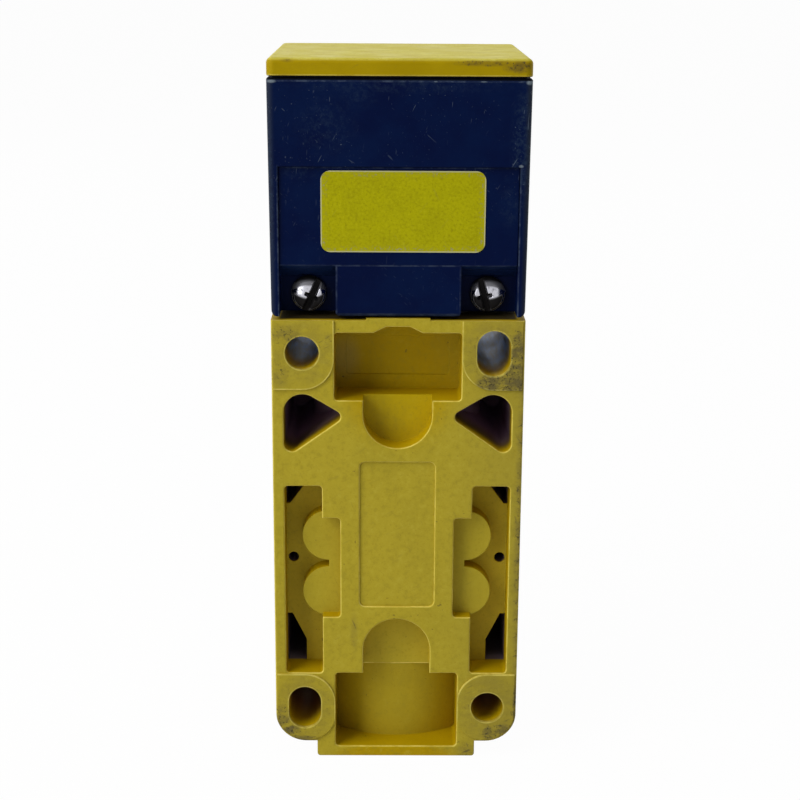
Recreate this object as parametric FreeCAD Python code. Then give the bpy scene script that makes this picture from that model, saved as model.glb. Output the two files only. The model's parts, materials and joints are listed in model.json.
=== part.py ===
import FreeCAD
import Part
import math
import os

# Inductive proximity sensor in a 40 mm square block housing, lengths in millimetres.
# The mounting side looks towards -Y, +Z is up, the origin is under the middle of the cable entry rim.

# Housing: the square plan of head and cap, which the base follows a little inside
housing_width = 40.0
base_height = 74.0
head_height = 36.4
cap_height = 3.0

# Base block
base_set_in = 0.2
base_side_wall = 1.8
front_edge_round = 0.9
rear_edge_round = 0.3
rim_set_back = 6.8
rim_drop = 2.7
rim_corner_round = 0.5
foot_corner_round = 5.0
top_lip_width = 10.0
top_lip_height = 0.3
top_lip_depth = 1.1

# Mounting holes, placed from the sides and ends of the housing, and the pads around them
hole_side_edge = 5.0
hole_top_edge = 5.2
hole_low_z = 8.8
hole_diameter = 5.3
slot_length = 7.3
pad_proud = 0.3
pad_reach = 5.0
pad_half_height = 5.9
pad_round = 5.0
pad_foot_round = 4.4

# Cored pockets of the mounting side, depths counted from the rear face, widths from the side walls
pocket_round = 0.6
mouth_round = 0.25
top_pocket_edge = 2.0
top_pocket_height = 10.9
top_pocket_floor_wall = 1.4
notch_rise = 1.0
notch_half_top = 1.85
notch_half_foot = 3.85
plaque_width = 16.6
plaque_height = 6.4
plaque_depth = 0.2
tongue_radius = 5.45
tongue_depth = 4.1
upper_tongue_length = 7.8
lower_tongue_length = 9.5
entry_pocket_low_z = 1.7
entry_pocket_height = 13.1
field_width = 12.0
field_low_gap = 2.2
field_high_gap = 2.3
field_depth = 0.4
field_round = 0.9
side_pocket_width = 6.0
side_pocket_top_edge = 27.0
side_pocket_depth = 5.4
side_bay_width = 8.9
side_bay_half_height = 8.5
side_bay_lift = 2.2
lobe_radius = 4.25
lobe_inset = 7.0
lobe_spacing = 9.6
lobe_height = 3.0
vent_radius = 0.85
vent_inset = 1.1
core_front_wall = 11.7
corner_core_width = 4.0
corner_core_height = 4.6
corner_core_tip = 0.6
foot_core_width = 3.1
foot_core_shoulder = 3.8
foot_core_height = 8.4
foot_core_tip = 0.8
triangle_width = 9.8
triangle_top_edge = 9.6
triangle_tip_fall = 5.9
triangle_height = 12.9
triangle_high_round = 3.0
triangle_tip_round = 1.0
triangle_low_round = 1.3

# Round chamber, cable entry and the neck that carries the head
entry_radius = 10.2
entry_length = 14.0
chamber_radius = 12.0
chamber_wall = 2.0
chamber_top_edge = 14.0
entry_collar_wall = 5.3
neck_bore_radius = 10.0
neck_radius = 12.2
neck_flange_radius = 14.2
neck_flange_thickness = 2.5
shelf_half_width = 8.6
shelf_rear_y = 2.5
shelf_thickness = 3.0

# Head housing
head_gap = 0.6
head_draft = 0.3
head_corner_round = 0.8
head_foot_round = 1.0
head_crown_round = 0.25
swivel_clearance = 0.3
socket_roof_clearance = 0.5
head_floor = 2.2
head_wall = 3.6
cavity_round = 2.0
lead_hole_radius = 3.2

# Rear panel of the head and the screw pockets beside its tab
panel_side_wall = 1.6
panel_height = 23.2
panel_thickness = 1.5
panel_set_back = 0.4
panel_seam = 0.05
tab_half_width = 9.7
tab_proud = 0.12
tab_round = 0.7
tab_chamfer = 0.5
scoop_height = 8.0
scoop_depth = 4.2
scoop_roof_drop = 2.4
scoop_bore_clearance = 0.3
label_width = 25.2
label_height = 12.5
label_thickness = 0.12
label_round = 1.5
label_x = 0.65
label_rise = 16.35

# Screws that hold the head on the neck
clamp_screw_rise = 2.9
clamp_screw_radius = 1.5
clamp_screw_length = 21.5
clamp_hole_spare = 1.5
clamp_head_radius = 2.8
clamp_head_height = 2.3
clamp_head_rim = 0.7
slot_width = 0.8
slot_sink = 1.0
cross_slot_turns = (0, 90)
clamp_slot_tilt = 20.0
screw_clearance = 0.05

# Cap over the active face
cap_top_wall = 2.1
cap_edge_round = 0.8
cap_corner_round = 1.2
cap_foot_round = 0.2
cap_groove_height = 0.3
cap_groove_depth = 0.6
cap_spigot_depth = 3.0
cap_spigot_clearance = 0.2

# Seal under the head
seal_set_in = 3.0
seal_width = 2.2
seal_groove_depth = 0.5

# Ferrite core, bobbin and coil
core_side_gap = 1.5
core_seat_clearance = 0.3
core_height = 8.5
core_back = 3.3
core_groove_width = 6.1
core_rim_wall = 2.3
core_hole_radius = 2.2
bobbin_clearance = 0.25
bobbin_hub_wall = 0.9
bobbin_flange = 0.6
coil_clearance = 0.05
coil_set_in = 0.45
coil_wire_radius = 0.25
coil_wire_x = 4.0
coil_wire_y = 9.0
coil_wire_hole_radius = 0.6

# Circuit board, what sits on it and the resin below it
resin_depth = 4.0
resin_clearance = 0.1
board_clearance = 0.9
board_thickness = 1.6
board_round = 1.0
chip_length = 6.0
chip_width = 4.0
chip_height = 1.6
chip_x = -6.5
chip_y = -6.0
chip_leg_pitch = 1.27
chip_leg_reach = 1.0
chip_leg_width = 0.45
chip_leg_thickness = 0.2
chip_legs_per_side = 4
transistor_length = 6.4
transistor_width = 6.0
transistor_height = 2.3
transistor_tab = 1.4
transistor_tab_inset = 1.0
transistor_tab_thickness = 0.6
transistor_x = 7.5
transistor_y = -7.0
can_radius = 2.2
can_height = 5.4
can_groove_depth = 0.25
can_groove_width = 0.7
can_groove_rise = 1.2
can_inset = 5.0
can_first_y = 0.0
can_pitch = 6.0
resistor_length = 3.2
resistor_width = 1.6
resistor_height = 0.6
resistor_count = 5
resistor_pitch = 2.6
resistor_inset = 4.5
resistor_first_y = -1.0
diode_radius = 1.3
diode_length = 5.0
diode_band = 0.1
diode_band_width = 1.3
diode_band_inset = 0.65
diode_x = 1.0
diode_y = -12.0
light_radius = 1.5
light_length = 3.4
light_x = 5.0
light_wall_gap = 0.4
lens_radius = 1.6
lens_reach = 0.15

# Terminal block and leads
terminal_count = 4
terminal_pitch = 4.0
terminal_wall = 0.6
terminal_end_wall = 0.2
terminal_block_rear_y = -2.2
terminal_block_front_y = 5.4
terminal_block_drop = 14.0
terminal_block_height = 11.0
terminal_lug_half_width = 2.6
terminal_lug_reach = 4.2
terminal_lug_height = 3.0
strip_width = 3.0
strip_thickness = 1.0
strip_rise = 6.5
strip_end_gap = 0.4
terminal_screw_y = 3.2
terminal_screw_radius = 1.1
terminal_screw_length = 6.5
terminal_hole_floor = 1.0
terminal_head_radius = 1.45
terminal_head_height = 1.6
terminal_wire_gap = 1.0
fixing_screw_radius = 1.2
fixing_head_radius = 2.0
fixing_head_height = 1.5
fixing_screw_length = 5.0
lead_radius = 0.6
lead_pitch = 1.4
lead_bend_radius = 6.0
lead_rise = 6.5
lead_end_gap = 0.3

# Places of the base, worked out from the sizes above; the hole centres come out 30 by 60 apart
base_width = housing_width - 2 * base_set_in
base_depth = housing_width - 2 * pad_proud
rear_face_y = -base_depth / 2
front_face_y = base_depth / 2
base_half = base_width / 2
side_wall_x = base_half - base_side_wall
rim_half_width = base_half - rim_set_back
hole_x = housing_width / 2 - hole_side_edge
hole_high_z = base_height - hole_top_edge
pad_inner_x = hole_x - pad_reach
top_pocket_high_z = base_height - top_pocket_edge
top_pocket_low_z = top_pocket_high_z - top_pocket_height
top_pocket_depth = -rear_face_y - neck_bore_radius - top_pocket_floor_wall
upper_tongue_low_z = top_pocket_low_z - upper_tongue_length
entry_pocket_high_z = entry_pocket_low_z + entry_pocket_height
lower_tongue_high_z = entry_pocket_high_z + lower_tongue_length
side_pocket_low_z = entry_pocket_high_z
side_pocket_high_z = base_height - side_pocket_top_edge
side_bay_middle_z = (side_pocket_low_z + side_pocket_high_z) / 2 + side_bay_lift
core_end_y = front_face_y - core_front_wall
barrel_radius = chamber_radius + chamber_wall
entry_collar_radius = entry_radius + entry_collar_wall
chamber_high_z = base_height - chamber_top_edge

# Places of the head
head_low_z = base_height + head_gap
head_high_z = head_low_z + head_height
head_foot_width = housing_width - 2 * head_draft
clamp_screw_x = neck_radius + swivel_clearance + clamp_screw_radius
clamp_screw_z = head_low_z + clamp_screw_rise
neck_flange_low_z = clamp_screw_z + clamp_screw_radius + swivel_clearance
neck_top_z = neck_flange_low_z + neck_flange_thickness
socket_radius = neck_flange_radius + swivel_clearance
socket_roof_z = neck_top_z + socket_roof_clearance
cavity_low_z = socket_roof_z + head_floor
cavity_half = housing_width / 2 - head_wall
panel_half_width = housing_width / 2 - panel_side_wall
panel_outer_y = -housing_width / 2 + head_draft / 2 + panel_set_back
panel_inner_y = panel_outer_y + panel_thickness
screw_seat_y = panel_outer_y + scoop_depth
cap_high_z = head_high_z + cap_height
core_radius = cavity_half - core_side_gap
core_high_z = cap_high_z - cap_top_wall
core_low_z = core_high_z - core_height
core_groove_z = core_low_z + core_back
core_post_radius = core_radius - core_rim_wall - core_groove_width
bobbin_radius = core_radius - core_rim_wall - bobbin_clearance
bobbin_bore_radius = core_post_radius + bobbin_clearance
board_half = cavity_half - board_clearance
board_low_z = cavity_low_z + resin_depth
board_high_z = board_low_z + board_thickness
light_y = cavity_half - light_wall_gap - light_length
light_z = board_high_z + light_radius

# Places of the terminals
terminal_block_low_z = chamber_high_z - terminal_block_drop
terminal_block_high_z = terminal_block_low_z + terminal_block_height
terminal_xs = [(i - (terminal_count - 1) / 2) * terminal_pitch for i in range(terminal_count)]
strip_low_z = terminal_block_low_z + strip_rise
strip_high_z = strip_low_z + strip_thickness
fixing_screw_y = terminal_block_front_y + terminal_lug_reach / 2

# Overrun of cutting shapes and the distance that counts as touching
past = 1.0
touch = 1e-6


def vec(x, y, z):
    return FreeCAD.Vector(x, y, z)


def block(x_low, x_high, y_low, y_high, z_low, z_high):
    return Part.makeBox(x_high - x_low, y_high - y_low, z_high - z_low, vec(x_low, y_low, z_low))


def upright(radius, x, y, z_low, z_high):
    return Part.makeCylinder(radius, z_high - z_low, vec(x, y, z_low), vec(0, 0, 1))


def across(radius, x, z, y_low, y_high):
    return Part.makeCylinder(radius, y_high - y_low, vec(x, y_low, z), vec(0, 1, 0))


def rounded_wire(corners):
    """Closed outline through the corners (point, radius), each turned with an arc of its radius."""
    count = len(corners)
    ends = []
    edges = []
    for i in range(count):
        point, radius = corners[i]
        back = (corners[i - 1][0] - point).normalize()
        ahead = (corners[(i + 1) % count][0] - point).normalize()
        if radius == 0:
            ends.append((point, point))
            continue
        half_angle = back.getAngle(ahead) / 2
        start = point + back * (radius / math.tan(half_angle))
        stop = point + ahead * (radius / math.tan(half_angle))
        inward = (back + ahead).normalize()
        middle = point + inward * (radius / math.sin(half_angle) - radius)
        edges.append(Part.Arc(start, middle, stop).toShape())
        ends.append((start, stop))
    for i in range(count):
        here = ends[i][1]
        there = ends[(i + 1) % count][0]
        if here.distanceToPoint(there) > touch:
            edges.append(Part.makeLine(here, there))
    return Part.Wire(Part.__sortEdges__(edges))


def prism(outline, y_low, y_high):
    """Outline of (x, z, radius) corners carried along Y."""
    wire = rounded_wire([(vec(x, y_low, z), radius) for x, z, radius in outline])
    return Part.Face(wire).extrude(vec(0, y_high - y_low, 0))


def plate(half_x, half_y, radius, z_low, z_high):
    """Rectangle with rounded corners carried along Z."""
    signs = [(-1, -1), (1, -1), (1, 1), (-1, 1)]
    wire = rounded_wire([(vec(sx * half_x, sy * half_y, z_low), radius) for sx, sy in signs])
    return Part.Face(wire).extrude(vec(0, 0, z_high - z_low))


def rectangle(x, z, width, height, radius):
    half_x = width / 2
    half_z = height / 2
    signs = [(-1, -1), (1, -1), (1, 1), (-1, 1)]
    return [(x + sx * half_x, z + sz * half_z, radius) for sx, sz in signs]


def turned(profile, x=0, y=0):
    """Profile of (radius, z) points turned about an upright axis."""
    points = [vec(x + radius, y, z) for radius, z in profile]
    face = Part.Face(Part.makePolygon(points + points[:1]))
    return face.revolve(vec(x, y, 0), vec(0, 0, 1), 360)


def mirrored(shape):
    return shape.mirror(vec(0, 0, 0), vec(1, 0, 0))


def both_sides(shape):
    return [shape, mirrored(shape)]


def base_block():
    half = base_half
    outline = [
        (-half, base_height, 0),
        (-half, rim_drop, foot_corner_round),
        (-rim_half_width, rim_drop, 0),
        (-rim_half_width, 0, rim_corner_round),
        (rim_half_width, 0, rim_corner_round),
        (rim_half_width, rim_drop, 0),
        (half, rim_drop, foot_corner_round),
        (half, base_height, 0),
    ]
    body = prism(outline, rear_face_y, front_face_y)
    corners = [
        (vec(-half, rear_face_y, 0), rear_edge_round),
        (vec(half, rear_face_y, 0), rear_edge_round),
        (vec(half, front_face_y, 0), front_edge_round),
        (vec(-half, front_face_y, 0), front_edge_round),
    ]
    section = Part.Face(rounded_wire(corners))
    return body.common(section.extrude(vec(0, 0, base_height)))


def mounting_pads():
    """Four pads that stand a little proud of the rear face, square outside and round inside."""
    outer = base_half - rear_edge_round
    upper = [
        (pad_inner_x, base_height, 0),
        (pad_inner_x, hole_high_z - pad_half_height, pad_round),
        (outer, hole_high_z - pad_half_height, 0),
        (outer, base_height, 0),
    ]
    lower = [
        (pad_inner_x, hole_low_z + pad_half_height, pad_round),
        (pad_inner_x, rim_drop + rear_edge_round, pad_foot_round),
        (outer, rim_drop + rear_edge_round, foot_corner_round - rear_edge_round),
        (outer, hole_low_z + pad_half_height, 0),
    ]
    pads = []
    for outline in (upper, lower):
        pads += both_sides(prism(outline, rear_face_y - pad_proud, rear_face_y + past))
    return pads


def mounting_holes():
    """Round holes on one diagonal, upright slots on the other."""
    reach = front_face_y + past
    radius = hole_diameter / 2
    holes = []
    for x, z in ((-hole_x, hole_high_z), (hole_x, hole_low_z)):
        holes.append(across(radius, x, z, -reach, reach))
    for x, z in ((hole_x, hole_high_z), (-hole_x, hole_low_z)):
        holes.append(prism(rectangle(x, z, hole_diameter, slot_length, radius), -reach, reach))
    return holes


def rear_prism(outline, depth):
    return prism(outline, rear_face_y - past, rear_face_y + depth)


def top_pocket():
    """Wide pocket under the neck with a notch in its upper edge and a bare plaque on its floor."""
    half = pad_inner_x
    high = top_pocket_high_z
    outline = [
        (-half, top_pocket_low_z, pocket_round),
        (half, top_pocket_low_z, pocket_round),
        (half, high, pocket_round),
        (notch_half_foot, high, 0),
        (notch_half_top, high + notch_rise, pocket_round),
        (-notch_half_top, high + notch_rise, pocket_round),
        (-notch_half_foot, high, 0),
        (-half, high, pocket_round),
    ]
    middle_z = (top_pocket_low_z + top_pocket_high_z) / 2
    field = rectangle(0, middle_z, plaque_width, plaque_height, pocket_round)
    return rear_prism(outline, top_pocket_depth).fuse(rear_prism(field, top_pocket_depth + plaque_depth))


def tongue(z_round, z_straight):
    """Pocket with one half-round end, from the crown of that end to a straight end."""
    side = 1 if z_round > z_straight else -1
    centre = z_round - side * tongue_radius
    straight = block(-tongue_radius, tongue_radius, rear_face_y - past, rear_face_y + tongue_depth,
                     min(centre, z_straight), max(centre, z_straight))
    return straight.fuse(across(tongue_radius, 0, centre, rear_face_y - past, rear_face_y + tongue_depth))


def entry_pocket():
    """Pocket above the rim, whose floor is the round collar of the cable entry."""
    half = pad_inner_x
    outline = [
        (-half, entry_pocket_low_z, pocket_round),
        (half, entry_pocket_low_z, pocket_round),
        (half, entry_pocket_high_z, pocket_round),
        (-half, entry_pocket_high_z, pocket_round),
    ]
    collar = upright(entry_collar_radius, 0, 0, -past, base_height)
    return rear_prism(outline, -rear_face_y).cut(collar)


def side_pocket():
    """Long pocket beside the middle panel, with a bay that holds two low lobes, joined at their roots."""
    bay_low = side_bay_middle_z - side_bay_half_height
    bay_high = side_bay_middle_z + side_bay_half_height
    bay_x = side_wall_x - side_bay_width
    inner_x = side_wall_x - side_pocket_width
    outline = [
        (inner_x, side_pocket_low_z, pocket_round),
        (side_wall_x, side_pocket_low_z, pocket_round),
        (side_wall_x, side_pocket_high_z, pocket_round),
        (inner_x, side_pocket_high_z, pocket_round),
        (inner_x, bay_high, 0),
        (bay_x, bay_high, pocket_round),
        (bay_x, bay_low, pocket_round),
        (inner_x, bay_low, 0),
    ]
    pocket = rear_prism(outline, side_pocket_depth)
    floor_y = rear_face_y + side_pocket_depth
    lobe_x = side_wall_x - lobe_inset
    lobe_zs = [side_bay_middle_z + side * lobe_spacing / 2 for side in (-1, 1)]
    for z in lobe_zs:
        pocket = pocket.cut(across(lobe_radius, lobe_x, z, floor_y - lobe_height, floor_y + past))
    return pocket.cut(block(bay_x - past, lobe_x, floor_y - lobe_height, floor_y + past, *lobe_zs))


def deep_cores():
    """Narrow cores that run on behind the rear pockets, clear of the round barrel."""
    floor_y = rear_face_y + side_pocket_depth - past
    foot_inner_x = side_wall_x - foot_core_width
    foot_high_z = side_pocket_low_z + foot_core_height
    triangle_high_z = base_height - triangle_top_edge
    corner = [
        (side_wall_x, side_pocket_high_z, 0),
        (side_wall_x - corner_core_width, side_pocket_high_z, 0),
        (side_wall_x - corner_core_tip, side_pocket_high_z - corner_core_height, 0),
        (side_wall_x, side_pocket_high_z - corner_core_height, 0),
    ]
    foot = [
        (side_wall_x, side_pocket_low_z, 0),
        (side_wall_x, foot_high_z, 0),
        (side_wall_x - foot_core_tip, foot_high_z, 0),
        (foot_inner_x, side_pocket_low_z + foot_core_shoulder, 0),
        (foot_inner_x, side_pocket_low_z, 0),
    ]
    triangle = [
        (side_wall_x - triangle_width, triangle_high_z - triangle_tip_fall, triangle_tip_round),
        (side_wall_x, triangle_high_z - triangle_height, triangle_low_round),
        (side_wall_x, triangle_high_z, triangle_high_round),
    ]
    barrel = upright(barrel_radius, 0, 0, 0, base_height)
    cores = [
        prism(corner, floor_y, core_end_y),
        prism(foot, floor_y, core_end_y),
        prism(triangle, rear_face_y - past, core_end_y).cut(barrel),
        across(vent_radius, side_wall_x - vent_inset, side_bay_middle_z, floor_y, core_end_y),
    ]
    return [side for core in cores for side in both_sides(core)]


def chamber_core():
    """Space inside the base: cable entry, round terminal chamber and neck bore in one turned form."""
    widen = chamber_radius - entry_radius
    narrow = chamber_radius - neck_bore_radius
    return turned([
        (0, -past),
        (entry_radius, -past),
        (entry_radius, entry_length),
        (chamber_radius, entry_length + widen),
        (chamber_radius, chamber_high_z),
        (neck_bore_radius, chamber_high_z + narrow),
        (neck_bore_radius, neck_top_z + past),
        (0, neck_top_z + past),
    ])


def neck():
    """Flanged neck on which the head turns."""
    return turned([
        (0, base_height - past),
        (neck_radius, base_height - past),
        (neck_radius, neck_flange_low_z),
        (neck_flange_radius, neck_flange_low_z),
        (neck_flange_radius, neck_top_z),
        (0, neck_top_z),
    ])


def terminal_shelf():
    shelf_low_z = terminal_block_low_z - shelf_thickness
    shelf = block(-shelf_half_width, shelf_half_width, shelf_rear_y, chamber_radius,
                  shelf_low_z, terminal_block_low_z)
    shelf = shelf.common(upright(chamber_radius + chamber_wall / 2, 0, 0, shelf_low_z, terminal_block_low_z))
    return shelf.cut(fixing_screw_hole())


def fixing_screw_hole():
    low_z = terminal_block_low_z - shelf_thickness - past
    return upright(fixing_screw_radius + screw_clearance, 0, fixing_screw_y, low_z, terminal_block_high_z)


def rounded_mouths(body):
    """Rounds the edges where the pockets open into the rear face, which is the widest face in that plane."""
    in_plane = [f for f in body.Faces if f.BoundBox.YMax < rear_face_y + touch]
    rear = max(in_plane, key=lambda face: face.Area)
    outer = rear.OuterWire
    edges = [e for wire in rear.Wires if not wire.isSame(outer) for e in wire.Edges]
    return body.makeFillet(mouth_round, edges)


def base_housing():
    lip = block(-top_lip_width / 2, top_lip_width / 2, rear_face_y, rear_face_y + top_lip_depth,
                base_height - past, base_height + top_lip_height)
    body = base_block().fuse([neck(), lip])
    field_low = lower_tongue_high_z + field_low_gap
    field_high = upper_tongue_low_z - field_high_gap
    field = rectangle(0, (field_low + field_high) / 2, field_width, field_high - field_low, field_round)
    cuts = mounting_holes() + deep_cores() + both_sides(side_pocket())
    cuts += [top_pocket(), entry_pocket(), chamber_core(), rear_prism(field, field_depth)]
    cuts.append(tongue(upper_tongue_low_z, top_pocket_low_z + past))
    cuts.append(tongue(lower_tongue_high_z, entry_pocket_high_z - past))
    cuts.append(seal_ring(base_height + past))
    body = rounded_mouths(body.cut(cuts).removeSplitter())
    pads = [pad.cut(cuts) for pad in mounting_pads()]
    return body.fuse(pads + [terminal_shelf()]).removeSplitter()


def seal_ring(high_z):
    """Flat ring around the neck, from the floor of the seal's groove up to the given height."""
    low_z = base_height - seal_groove_depth
    outer = base_half - seal_set_in
    return upright(outer, 0, 0, low_z, high_z).cut(upright(outer - seal_width, 0, 0, low_z, high_z))


def swivel_seal():
    """Ring that lies in the groove and stands a little proud of the base."""
    return seal_ring(head_low_z - swivel_clearance)


def screw_scoops():
    """Tool pockets beside the tab: a roof that falls towards the seat, and a bore around the screw head."""
    outer_y = panel_outer_y - past
    roof_z = head_low_z + scoop_height
    slope = scoop_roof_drop / (screw_seat_y - panel_outer_y)
    points = [
        vec(tab_half_width, outer_y, head_low_z - past),
        vec(tab_half_width, screw_seat_y, head_low_z - past),
        vec(tab_half_width, screw_seat_y, roof_z - scoop_roof_drop),
        vec(tab_half_width, outer_y, roof_z + past * slope),
    ]
    face = Part.Face(Part.makePolygon(points + points[:1]))
    scoop = face.extrude(vec(panel_half_width - tab_half_width, 0, 0))
    bore_radius = clamp_head_radius + scoop_bore_clearance
    bore = across(bore_radius, clamp_screw_x, clamp_screw_z, outer_y, screw_seat_y)
    return both_sides(scoop.fuse(bore).removeSplitter())


def clamp_screw_holes():
    end_y = screw_seat_y + clamp_screw_length + clamp_hole_spare
    radius = clamp_screw_radius + screw_clearance
    return both_sides(across(radius, clamp_screw_x, clamp_screw_z, screw_seat_y - past, end_y))


def rounded_square_wire(half, radius, z):
    signs = [(-1, -1), (1, -1), (1, 1), (-1, 1)]
    return rounded_wire([(vec(sx * half, sy * half, z), radius) for sx, sy in signs])


def foot_rounding():
    """Waste outside the rounded lower edge of a side wall of the head."""
    centre_x = head_foot_width / 2 - head_foot_round
    centre_z = head_low_z + head_foot_round
    waste = block(centre_x, housing_width, -housing_width, housing_width, head_low_z - past, centre_z)
    return waste.cut(across(head_foot_round, centre_x, centre_z, -housing_width, housing_width))


def head_housing():
    """Pot with drafted walls, open at the top for the cap and socketed below for the neck."""
    foot = rounded_square_wire(head_foot_width / 2, head_corner_round, head_low_z)
    crown = rounded_square_wire(housing_width / 2, head_corner_round, head_high_z)
    body = Part.makeLoft([foot, crown], True, True)
    crown_edges = [e for e in body.Edges if e.BoundBox.ZMin > head_high_z - touch]
    body = body.makeFillet(head_crown_round, crown_edges)
    cuts = [
        plate(cavity_half, cavity_half, cavity_round, cavity_low_z, head_high_z + past),
        upright(socket_radius, 0, 0, head_low_z - past, socket_roof_z),
        upright(lead_hole_radius, 0, 0, socket_roof_z - past, cavity_low_z + past),
        block(-panel_half_width, panel_half_width, -housing_width, panel_inner_y + panel_seam,
              head_low_z - past, head_low_z + panel_height),
    ]
    cuts += screw_scoops() + clamp_screw_holes() + both_sides(foot_rounding())
    for x in (-light_x, light_x):
        cuts.append(across(lens_radius + screw_clearance, x, light_z, cavity_half - past, housing_width))
    return body.cut(cuts).removeSplitter()


def rear_panel():
    """Panel let into the rear of the head, cut away beside its tab, which stands a little proud."""
    half = panel_half_width - panel_seam
    high_z = head_low_z + panel_height - panel_seam
    tab_y = panel_outer_y - tab_proud
    body = block(-half, half, panel_outer_y, panel_inner_y, head_low_z, high_z).cut(screw_scoops())
    tab = block(-tab_half_width, tab_half_width, tab_y, panel_inner_y, head_low_z, head_low_z + scoop_height)
    body = body.fuse(tab).removeSplitter()
    corners = [e for e in body.Edges if e.BoundBox.ZMax < head_low_z + touch and e.BoundBox.XLength < touch]
    body = body.makeFillet(tab_round, corners)
    bevel = [
        vec(-half, tab_y - past, head_low_z - past),
        vec(-half, tab_y + tab_chamfer + past, head_low_z - past),
        vec(-half, tab_y - past, head_low_z + tab_chamfer + past),
    ]
    return body.cut(Part.Face(Part.makePolygon(bevel + bevel[:1])).extrude(vec(2 * half, 0, 0)))


def blank_label():
    outline = rectangle(label_x, head_low_z + label_rise, label_width, label_height, label_round)
    return prism(outline, panel_outer_y - label_thickness, panel_outer_y)


def clamp_screws():
    """Pan-head screws with a cross-slotted crown, axis along Y."""
    rim = [
        (0, 0),
        (clamp_head_radius, 0),
        (clamp_head_radius, clamp_head_rim),
    ]
    points = [vec(radius, 0, height) for radius, height in rim]
    crown = vec(0, 0, clamp_head_height)
    dome = Part.Arc(points[2], dome_point(), crown).toShape()
    edges = [Part.makeLine(points[0], points[1]), Part.makeLine(points[1], points[2]), dome,
             Part.makeLine(crown, points[0])]
    head = Part.Face(Part.Wire(edges)).revolve(vec(0, 0, 0), vec(0, 0, 1), 360)
    for turn in cross_slot_turns:
        slot = block(-clamp_head_radius, clamp_head_radius, -slot_width / 2, slot_width / 2,
                     clamp_head_height - slot_sink, clamp_head_height + past)
        head = head.cut(slot.rotate(vec(0, 0, 0), vec(0, 0, 1), turn))
    head = head.rotate(vec(0, 0, 0), vec(1, 0, 0), 90)
    screws = []
    for side in (-1, 1):
        placed = head.copy().rotate(vec(0, 0, 0), vec(0, 1, 0), -side * clamp_slot_tilt)
        placed.translate(vec(side * clamp_screw_x, screw_seat_y, clamp_screw_z))
        shank = across(clamp_screw_radius, side * clamp_screw_x, clamp_screw_z, screw_seat_y - past,
                       screw_seat_y + clamp_screw_length)
        screws.append(placed.fuse(shank).removeSplitter())
    return Part.makeCompound(screws)


def dome_point():
    """Point half way round the quarter ellipse from the rim of a pan head to its crown."""
    half_way = math.pi / 4
    height = clamp_head_rim + (clamp_head_height - clamp_head_rim) * math.sin(half_way)
    return vec(clamp_head_radius * math.cos(half_way), 0, height)


def active_face_cap():
    """Cap with a rounded outer edge, a shadow groove below and a spigot that fits the head's mouth."""
    half = housing_width / 2
    groove_z = head_high_z + cap_groove_height
    top = plate(half, half, cap_corner_round, groove_z, cap_high_z)
    top_edges = [e for e in top.Edges if e.BoundBox.ZMin > cap_high_z - touch]
    top = top.makeFillet(cap_edge_round, top_edges)
    foot_edges = [e for e in top.Edges if e.BoundBox.ZMax < groove_z + touch]
    top = top.makeFillet(cap_foot_round, foot_edges)
    inset = half - cap_groove_depth
    waist = plate(inset, inset, cap_corner_round, head_high_z, groove_z)
    spigot_half = cavity_half - cap_spigot_clearance
    spigot = plate(spigot_half, spigot_half, cavity_round, head_high_z - cap_spigot_depth, head_high_z)
    body = top.fuse([waist, spigot])
    seat_radius = core_radius + core_seat_clearance
    seat = upright(seat_radius, 0, 0, head_high_z - cap_spigot_depth - past, core_high_z)
    return body.cut(seat).removeSplitter()


def ferrite_core():
    """Pot core, open towards the active face."""
    groove_outer = core_radius - core_rim_wall
    core = turned([
        (core_hole_radius, core_low_z),
        (core_radius, core_low_z),
        (core_radius, core_high_z),
        (groove_outer, core_high_z),
        (groove_outer, core_groove_z),
        (core_post_radius, core_groove_z),
        (core_post_radius, core_high_z),
        (core_hole_radius, core_high_z),
    ])
    for x in (-coil_wire_x, coil_wire_x):
        hole = upright(coil_wire_hole_radius, x, coil_wire_y, core_low_z - past, core_groove_z + past)
        core = core.cut(hole)
    return core


def coil_bobbin():
    hub = bobbin_bore_radius + bobbin_hub_wall
    low = core_groove_z
    high = core_high_z - bobbin_clearance
    return turned([
        (bobbin_bore_radius, low),
        (bobbin_radius, low),
        (bobbin_radius, low + bobbin_flange),
        (hub, low + bobbin_flange),
        (hub, high - bobbin_flange),
        (bobbin_radius, high - bobbin_flange),
        (bobbin_radius, high),
        (bobbin_bore_radius, high),
    ])


def coil_winding():
    inner = bobbin_bore_radius + bobbin_hub_wall + coil_clearance
    outer = bobbin_radius - coil_set_in
    low = core_groove_z + bobbin_flange + coil_clearance
    high = core_high_z - bobbin_clearance - bobbin_flange - coil_clearance
    return turned([(inner, low), (outer, low), (outer, high), (inner, high)])


def coil_wires():
    wires = [upright(coil_wire_radius, x, coil_wire_y, board_high_z, core_groove_z)
             for x in (-coil_wire_x, coil_wire_x)]
    return Part.makeCompound(wires)


def circuit_board():
    return plate(board_half, board_half, board_round, board_low_z, board_high_z)


def potting_resin():
    """Cast layer between the floor of the head and the board, with a hole for the leads."""
    half = cavity_half - resin_clearance
    layer = plate(half, half, cavity_round, cavity_low_z, board_low_z)
    return layer.cut(upright(lead_hole_radius, 0, 0, cavity_low_z - past, board_low_z + past))


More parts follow.
